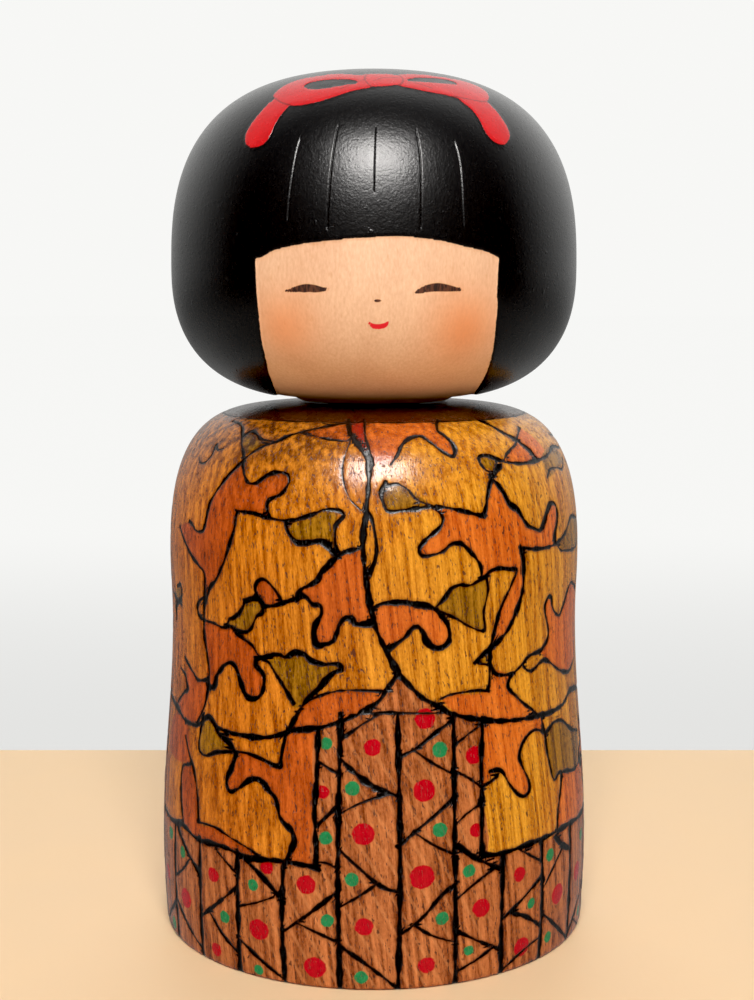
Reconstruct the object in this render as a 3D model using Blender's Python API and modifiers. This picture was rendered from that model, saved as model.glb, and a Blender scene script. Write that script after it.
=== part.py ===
"""Kokeshi doll: a turned body block, a turned head block and the hardwood peg that joins them.

Metres, +Z up. The origin is the centre of the flat base, on the surface that the doll stands on, and the
face looks along -Y. The head turns on its peg about the Z axis, which is also the lathe axis of each block.
"""

import math

import bmesh
import bpy

MM = 0.001

# Body: a block with a full hem, a slight waist and broad round shoulders under a flat top.
BASE_RADIUS = 38.15 * MM
BASE_ROUNDING = 0.65 * MM
HEM_RADIUS = 38.65 * MM
HEM_HEIGHT = 15.0 * MM
WAIST_RADIUS = 36.40 * MM
WAIST_HEIGHT = 57.0 * MM
CHEST_RADIUS = 36.65 * MM
CHEST_HEIGHT = 67.0 * MM
BODY_HEIGHT = 93.9 * MM
SHOULDER_SQUARENESS = 6.0
SHOULDER_DROP = 2.37

# Head: wider above its middle than below, flattened where it sits on the shoulders.
HEAD_RADIUS = 35.72 * MM
HEAD_MIDDLE_HEIGHT = 116.9 * MM
HEAD_TOP_HEIGHT = 151.0 * MM
CROWN_SQUARENESS = 2.80
CROWN_DROP = 2.64
JAW_SQUARENESS = 3.44
JAW_DROP = 2.29

# Neck joint: one dowel, glued into the head and turning in the body.
TOUCHING_GAP = 0.3 * MM
PEG_RADIUS = 8.0 * MM
PEG_CHAMFER = 0.8 * MM
PEG_DEPTH_IN_BODY = 16.0 * MM
PEG_DEPTH_IN_HEAD = 18.0 * MM
SOCKET_END_CLEARANCE = 1.0 * MM
SOCKET_CHAMFER = 0.5 * MM
SEAT_RADIUS = 13.0 * MM

# Facets
TURN_STEPS = 64
PEG_SIDES = 40
HEM_POINTS = 4
WAIST_POINTS = 9
CHEST_POINTS = 3
SHOULDER_POINTS = 14
CROWN_POINTS = 20
JAW_POINTS = 15
ROUNDING_POINTS = 3
ON_AXIS_MERGE = 0.00001

ZELKOVA = ((0.60, 0.26, 0.06), 0.28)
PALE_DOGWOOD = ((0.80, 0.56, 0.36), 0.35)
BEECH = ((0.66, 0.48, 0.30), 0.55)


def clear_scene():
    for obj in list(bpy.data.objects):
        bpy.data.objects.remove(obj, do_unlink=True)


def new_collection(name):
    collection = bpy.data.collections.new(name)
    bpy.context.scene.collection.children.link(collection)
    return collection


def wood_material(name, wood):
    colour, roughness = wood
    material = bpy.data.materials.new(name)
    material.use_nodes = True
    shader = material.node_tree.nodes["Principled BSDF"]
    shader.inputs["Base Color"].default_value = (*colour, 1.0)
    shader.inputs["Roughness"].default_value = roughness
    shader.inputs["Metallic"].default_value = 0.0
    material.diffuse_color = (*colour, 1.0)
    return material


def ease(start, end, share):
    """From start to end along half a cosine wave, level at both."""
    return start + (end - start) * (1.0 - math.cos(math.pi * share)) / 2.0


def superellipse(radius, squareness, drop, share):
    """The radius at this share of the way from the widest ring to the end of a turned form."""
    return radius * max(0.0, 1.0 - share**drop) ** (1.0 / squareness)


def share_at_radius(full_radius, squareness, drop, radius):
    """The share at which superellipse() has come down to this radius."""
    return (1.0 - (radius / full_radius) ** squareness) ** (1.0 / drop)


def round_out(last_share, count):
    """Shares from 0 to last_share, closer together where the outline turns towards the axis."""
    return [last_share * math.sin(math.pi / 2.0 * step / count) for step in range(count + 1)]


def shoulder_outline():
    """Down the outer side, from the rim of the flat top to the chest ring."""
    height = BODY_HEIGHT - CHEST_HEIGHT
    top_share = share_at_radius(CHEST_RADIUS, SHOULDER_SQUARENESS, SHOULDER_DROP, SEAT_RADIUS)
    outline = []
    for share in reversed(round_out(top_share, SHOULDER_POINTS)):
        radius = superellipse(CHEST_RADIUS, SHOULDER_SQUARENESS, SHOULDER_DROP, share)
        outline.append((radius, CHEST_HEIGHT + height * share))
    outline[0] = (SEAT_RADIUS, BODY_HEIGHT)
    return outline


def skirt_outline():
    """Down the outer side, from just under the chest ring to the flat base."""
    outline = []
    for step in range(1, CHEST_POINTS + 1):
        share = step / CHEST_POINTS
        height = CHEST_HEIGHT + (WAIST_HEIGHT - CHEST_HEIGHT) * share
        outline.append((ease(CHEST_RADIUS, WAIST_RADIUS, share), height))
    for step in range(1, WAIST_POINTS + 1):
        share = step / WAIST_POINTS
        height = WAIST_HEIGHT + (HEM_HEIGHT - WAIST_HEIGHT) * share
        outline.append((ease(WAIST_RADIUS, HEM_RADIUS, share), height))
    for step in range(1, HEM_POINTS + 1):
        share = step / HEM_POINTS
        height = HEM_HEIGHT + (BASE_ROUNDING - HEM_HEIGHT) * share
        outline.append((HEM_RADIUS + (BASE_RADIUS - HEM_RADIUS) * share**2, height))
    for step in range(1, ROUNDING_POINTS + 1):
        angle = math.pi / 2.0 * step / ROUNDING_POINTS
        radius = BASE_RADIUS - BASE_ROUNDING * (1.0 - math.cos(angle))
        outline.append((radius, BASE_ROUNDING * (1.0 - math.sin(angle))))
    return outline


def body_profile():
    """Up the blind socket, out over the seat, down the shoulder and the skirt, and in under the base."""
    bore = PEG_RADIUS + TOUCHING_GAP
    socket_floor = BODY_HEIGHT - PEG_DEPTH_IN_BODY - SOCKET_END_CLEARANCE
    socket = [
        (0.0, socket_floor),
        (bore, socket_floor),
        (bore, BODY_HEIGHT - SOCKET_CHAMFER),
        (bore + SOCKET_CHAMFER, BODY_HEIGHT),
    ]
    return socket + shoulder_outline() + skirt_outline() + [(0.0, 0.0)]


def head_profile():
    """Down the crown and the jaw, in across the seat, and up the blind socket."""
    seat_height = BODY_HEIGHT + TOUCHING_GAP
    crown = HEAD_TOP_HEIGHT - HEAD_MIDDLE_HEIGHT
    jaw = HEAD_MIDDLE_HEIGHT - seat_height
    outline = []
    for share in reversed(round_out(1.0, CROWN_POINTS)):
        radius = superellipse(HEAD_RADIUS, CROWN_SQUARENESS, CROWN_DROP, share)
        outline.append((radius, HEAD_MIDDLE_HEIGHT + crown * share))
    outline[0] = (0.0, HEAD_TOP_HEIGHT)
    seat_share = share_at_radius(HEAD_RADIUS, JAW_SQUARENESS, JAW_DROP, SEAT_RADIUS)
    for share in round_out(seat_share, JAW_POINTS)[1:]:
        radius = superellipse(HEAD_RADIUS, JAW_SQUARENESS, JAW_DROP, share)
        outline.append((radius, HEAD_MIDDLE_HEIGHT - jaw * share))
    outline[-1] = (SEAT_RADIUS, seat_height)
    bore = PEG_RADIUS + TOUCHING_GAP
    socket_roof = seat_height + PEG_DEPTH_IN_HEAD + TOUCHING_GAP
    socket = [
        (bore + SOCKET_CHAMFER, seat_height),
        (bore, seat_height + SOCKET_CHAMFER),
        (bore, socket_roof),
        (0.0, socket_roof),
    ]
    return outline + socket


def turned_object(name, profile, material, collection, origin_height):
    """A block turned about the Z axis from a profile of (radius, height) points."""
    mesh = bpy.data.meshes.new(name)
    corners = [(radius, 0.0, height - origin_height) for radius, height in profile]
    edges = [(index, index + 1) for index in range(len(corners) - 1)]
    mesh.from_pydata(corners, edges, [])
    mesh.materials.append(material)
    obj = bpy.data.objects.new(name, mesh)
    collection.objects.link(obj)
    turn = obj.modifiers.new("lathe", "SCREW")
    turn.axis = "Z"
    turn.angle = 2.0 * math.pi
    turn.steps = TURN_STEPS
    turn.render_steps = TURN_STEPS
    turn.use_merge_vertices = True
    turn.merge_threshold = ON_AXIS_MERGE
    turn.use_smooth_shade = True
    return obj


def peg_object(name, material, collection):
    """The dowel, centred on its own origin, with both ends chamfered."""
    mesh = bpy.data.meshes.new(name)
    shape = bmesh.new()
    bmesh.ops.create_cone(
        shape,
        cap_ends=True,
        segments=PEG_SIDES,
        radius1=PEG_RADIUS,
        radius2=PEG_RADIUS,
        depth=PEG_DEPTH_IN_BODY + TOUCHING_GAP + PEG_DEPTH_IN_HEAD,
    )
    rims = [edge for edge in shape.edges if abs(edge.verts[0].co.z - edge.verts[1].co.z) < PEG_CHAMFER]
    bmesh.ops.bevel(shape, geom=rims, offset=PEG_CHAMFER, segments=1, affect="EDGES")
    shape.to_mesh(mesh)
    shape.free()
    mesh.materials.append(material)
    mesh.shade_smooth()
    mesh.set_sharp_from_angle(angle=math.radians(30.0))
    obj = bpy.data.objects.new(name, mesh)
    collection.objects.link(obj)
    return obj


def head_turn_axis(collection):
    """The empty that carries the moving pieces, on the joint's axis at the head's seat."""
    axis = bpy.data.objects.new("head_turn_axis", None)
    axis.empty_display_type = "SINGLE_ARROW"
    axis.empty_display_size = HEAD_RADIUS
    axis.location = (0.0, 0.0, BODY_HEIGHT + TOUCHING_GAP)
    collection.objects.link(axis)
    return axis


def build():
    clear_scene()
    doll = new_collection("kokeshi_doll")
    zelkova = wood_material("zelkova_body", ZELKOVA)
    turned_object("body", body_profile(), zelkova, doll, 0.0)

    axis = head_turn_axis(doll)
    dogwood = wood_material("dogwood_head", PALE_DOGWOOD)
    head = turned_object("head", head_profile(), dogwood, doll, axis.location.z)
    head.parent = axis

    peg = peg_object("neck_peg", wood_material("beech_peg", BEECH), doll)
    peg.parent = axis
    peg.location.z = (PEG_DEPTH_IN_HEAD - TOUCHING_GAP - PEG_DEPTH_IN_BODY) / 2.0


build()
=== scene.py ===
"""The looks of a kokeshi doll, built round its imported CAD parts.

Metres, +Z up, the face looks along -Y. Both turned blocks get a fine skin that follows the CAD outline.
What is burnt, stained or painted on them is drawn as strokes and areas in two surface coordinates: degrees
round from the front (positive towards +X) and millimetres up the surface, from the base's edge on the body
and from the neck seat's edge on the head.
"""
import math

import bmesh
import bpy
import numpy as np
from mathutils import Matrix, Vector, kdtree


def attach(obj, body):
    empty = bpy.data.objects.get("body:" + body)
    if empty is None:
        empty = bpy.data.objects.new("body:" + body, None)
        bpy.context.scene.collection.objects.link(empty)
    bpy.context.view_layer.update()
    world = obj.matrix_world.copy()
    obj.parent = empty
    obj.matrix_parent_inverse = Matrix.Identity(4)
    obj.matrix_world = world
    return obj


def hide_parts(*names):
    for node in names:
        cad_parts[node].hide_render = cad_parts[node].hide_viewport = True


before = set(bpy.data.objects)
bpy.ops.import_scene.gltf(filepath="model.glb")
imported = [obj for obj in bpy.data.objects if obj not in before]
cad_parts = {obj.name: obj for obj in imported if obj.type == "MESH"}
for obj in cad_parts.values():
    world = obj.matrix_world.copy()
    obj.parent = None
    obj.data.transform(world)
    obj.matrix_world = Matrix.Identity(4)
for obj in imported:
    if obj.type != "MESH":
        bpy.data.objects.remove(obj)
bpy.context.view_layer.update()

MM = 0.001
DEGREE_MM = 0.64  # about how far one degree round is on either block


# ---- Curves ----

def smooth_curve(points, step, closed=False):
    """Points about this far apart along a centripetal Catmull-Rom curve through the given ones."""
    points = np.asarray(points, float)
    if closed:
        points = np.vstack([points[-1:], points, points[:2]])
    else:
        points = np.vstack([2 * points[0] - points[1], points, 2 * points[-1] - points[-2]])
    gaps = np.maximum(np.linalg.norm(np.diff(points, axis=0), axis=1), 1e-9) ** 0.5
    knots = np.concatenate([[0.0], np.cumsum(gaps)])
    out = []
    for i in range(1, len(points) - 2):
        p0, p1, p2, p3 = points[i - 1:i + 3]
        t0, t1, t2, t3 = knots[i - 1:i + 3]
        count = max(1, int(np.ceil(np.linalg.norm(p2 - p1) / step)))
        t = np.linspace(t1, t2, count, endpoint=False)[:, None]
        a1 = (t1 - t) / (t1 - t0) * p0 + (t - t0) / (t1 - t0) * p1
        a2 = (t2 - t) / (t2 - t1) * p1 + (t - t1) / (t2 - t1) * p2
        a3 = (t3 - t) / (t3 - t2) * p2 + (t - t2) / (t3 - t2) * p3
        b1 = (t2 - t) / (t2 - t0) * a1 + (t - t0) / (t2 - t0) * a2
        b2 = (t3 - t) / (t3 - t1) * a2 + (t - t1) / (t3 - t1) * a3
        out.append((t2 - t) / (t2 - t1) * b1 + (t - t1) / (t2 - t1) * b2)
    if not closed:
        out.append(points[-2:-1])
    return np.vstack(out)


def surface_curve(points, step, closed=False):
    """A smooth curve through (degrees, mm) points, its step in mm along the surface."""
    flat = np.asarray(points, float) * (DEGREE_MM, 1.0)
    return smooth_curve(flat, step, closed) / (DEGREE_MM, 1.0)


def smoothstep(low, high, value):
    share = np.clip((value - low) / (high - low), 0.0, 1.0)
    return share * share * (3.0 - 2.0 * share)


def wrapped(degrees):
    """The same direction as an angle from -180 up to 180."""
    return (degrees + 180.0) % 360.0 - 180.0


# ---- Turned skins ----

PROFILE_STEP = 0.05
NORMAL_REACH = 0.3
SHARP_DEGREES = 55
MERGE_METRES = 1e-7


def cad_rings(node):
    """The rings of a turned CAD node as (radius, height) in mm."""
    corners = np.array([v.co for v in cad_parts[node].data.vertices]) / MM
    return {(round(math.hypot(x, y), 2), round(z, 2)) for x, y, z in corners}


class TurnedSkin:
    """A fine skin over a turned CAD node, with its own surface coordinates."""

    def __init__(self, wall, hidden_before, hidden_after, columns, rows):
        """wall runs up the shown surface as (radius, height); the hidden rings close it at both ends.

        columns are angles in degrees, and rows gives the places up the surface from its length in mm.
        """
        self.wall = smooth_curve(wall, PROFILE_STEP)
        lengths = np.linalg.norm(np.diff(self.wall, axis=0), axis=1)
        self.arc = np.concatenate([[0.0], np.cumsum(lengths)])
        self.length = self.arc[-1]
        self.hidden_before = hidden_before
        self.hidden_after = hidden_after
        self.columns = columns
        self.around, self.up = np.meshgrid(columns, rows(self.length))
        self.points = self.place(self.around, self.up)

    def profile(self, up):
        return np.interp(up, self.arc, self.wall[:, 0]), np.interp(up, self.arc, self.wall[:, 1])

    def place(self, around, up, out=0.0):
        """Positions in mm of surface coordinates, moved out along the surface normal."""
        radius, height = self.profile(up)
        below_radius, below_height = self.profile(up - NORMAL_REACH)
        above_radius, above_height = self.profile(up + NORMAL_REACH)
        run, rise = above_radius - below_radius, above_height - below_height
        size = np.maximum(np.hypot(run, rise), 1e-6)
        radius = np.maximum(radius + out * rise / size, 0.0)
        height = height - out * run / size
        angle = np.radians(around)
        return np.stack([radius * np.sin(angle), -radius * np.cos(angle), height], -1)

    def ring(self, radius, height):
        angle = np.radians(self.columns)
        heights = np.full(len(angle), height)
        return np.stack([radius * np.sin(angle), -radius * np.cos(angle), heights], -1)[None]

    def build(self, name, relief, drawn, material):
        """The mesh object, raised by relief in mm, with each of drawn as a vertex attribute."""
        before = [self.ring(*ring) for ring in self.hidden_before]
        after = [self.ring(*ring) for ring in self.hidden_after]
        grid = self.place(self.around, self.up, relief)
        points = np.concatenate(before + [grid] + after)
        index = np.arange(points.shape[0] * points.shape[1]).reshape(points.shape[:2])
        beside = np.roll(index, -1, axis=1)
        quads = np.stack([index[:-1], beside[:-1], beside[1:], index[1:]], -1).reshape(-1, 4)
        mesh = bpy.data.meshes.new(name)
        mesh.from_pydata((points.reshape(-1, 3) * MM).tolist(), [], quads.tolist())
        padding = ((len(before), len(after)), (0, 0))
        for label, values in drawn.items():
            full = np.pad(values, padding, mode="edge").astype(np.float32)
            mesh.attributes.new(label, "FLOAT", "POINT").data.foreach_set("value", full.ravel())
        return mesh_object(name, mesh, material)


def mesh_object(name, mesh, material):
    """Merges the points that meet on the axis and smooths the shading up to sharp rims."""
    work = bmesh.new()
    work.from_mesh(mesh)
    bmesh.ops.remove_doubles(work, verts=work.verts, dist=MERGE_METRES)
    work.to_mesh(mesh)
    work.free()
    mesh.shade_smooth()
    mesh.set_sharp_from_angle(angle=math.radians(SHARP_DEGREES))
    mesh.materials.append(material)
    return in_scene(name, mesh)


def in_scene(name, data):
    """A new object with this data, in the scene."""
    obj = bpy.data.objects.new(name, data)
    bpy.context.scene.collection.objects.link(obj)
    return obj


# ---- Drawing on a skin: strokes and areas become distances at each point of its grid ----

STROKE_STEP = 0.25
STROKE_END = 0.28  # mm from a stroke's nearest sample to where its end is drawn
WIDTH_WAVES = ((1.9, 0.25), (4.2, 0.6), (11.0, 0.75))  # how a stroke's width wavers, as (mm, share)
AREA_STEP = 0.4
PAINT_STEP = 0.3


def nearest_samples(skin, samples):
    """For each grid point, the index of the nearest of these points in mm and how far away it is."""
    tree = kdtree.KDTree(len(samples))
    for i, point in enumerate(samples):
        tree.insert(point, i)
    tree.balance()
    found = [tree.find(point)[1:] for point in skin.points.reshape(-1, 3)]
    index, distance = zip(*found)
    return np.array(index).reshape(skin.around.shape), np.array(distance).reshape(skin.around.shape)


def edge_distance(skin, curve):
    """How far each grid point is in mm from a curve of (degrees, mm) points."""
    return nearest_samples(skin, skin.place(curve[:, 0], curve[:, 1]))[1]


def wavering(length, random):
    """A smooth random signal of about unit size along a line of this many samples."""
    along = np.arange(length) * STROKE_STEP
    signal = np.zeros(length)
    for wave, share in WIDTH_WAVES:
        wave = wave * random.uniform(0.75, 1.3)
        signal += share * np.sin(2 * np.pi * along / wave + random.uniform(0, 2 * np.pi))
    return signal


def stroke_fields(skin, strokes, seed, unevenness):
    """Three fields about the nearest stroke at each grid point, all in mm.

    The signed distance across to its middle line, the distance to its nearest point, and its half width.
    """
    random = np.random.default_rng(seed)
    places, sides, halves = [], [], []
    for half, points in strokes:
        line = surface_curve(points, STROKE_STEP)
        place = skin.place(line[:, 0], line[:, 1])
        normal = skin.place(line[:, 0], line[:, 1], 1.0) - place
        tangent = np.gradient(place, axis=0)
        tangent /= np.maximum(np.linalg.norm(tangent, axis=1), 1e-9)[:, None]
        places.append(place)
        sides.append(np.cross(normal, tangent))
        waver = wavering(len(place), random)
        halves.append(half * (1.0 + unevenness * np.clip(waver, -1.2, 2.0)))
    places, sides, halves = np.vstack(places), np.vstack(sides), np.concatenate(halves)
    index, distance = nearest_samples(skin, places)
    across = np.einsum("ijk,ijk->ij", skin.points - places[index], sides[index])
    return across, distance, halves[index]


def stroke_depth(fields):
    """How far outside the nearest stroke's edge a point is, in mm: below zero on the stroke."""
    across, distance, half = fields
    return np.maximum(np.abs(across), distance - STROKE_STEP) - half


def inside(x, y, outline):
    """Whether each point lies inside a closed outline."""
    odd = np.zeros(x.shape, bool)
    for (x0, y0), (x1, y1) in zip(outline, np.roll(outline, -1, axis=0)):
        if y0 == y1:
            continue
        crosses = (y0 > y) != (y1 > y)
        odd ^= crosses & (x < x0 + (y - y0) / (y1 - y0) * (x1 - x0))
    return odd


def area_edge(skin, outlines):
    """Signed distance in mm to the edge of these areas: below zero inside any of them."""
    covered = np.zeros(skin.around.shape, bool)
    curves = [surface_curve(outline, AREA_STEP, closed=True) for outline in outlines]
    for curve in curves:
        middle = curve[:, 0].mean()
        covered |= inside(wrapped(skin.around - middle) + middle, skin.up, curve)
    distance = edge_distance(skin, np.vstack(curves))
    return np.where(covered, -distance, distance)


def dot_edge(skin, dots):
    """Signed distance in mm to the edge of round dots given as (degrees, mm, radius in mm)."""
    edge = np.inf
    for around, up, radius in dots:
        away = np.hypot(wrapped(skin.around - around) * DEGREE_MM, skin.up - up)
        edge = np.minimum(edge, away - radius)
    return edge


# ---- What is drawn on the body, as (degrees, mm) points ----

# Half the width of the burnt lines, in mm.
BOLD, FULL, FINE, THIN = 0.485, 0.355, 0.25, 0.165

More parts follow.
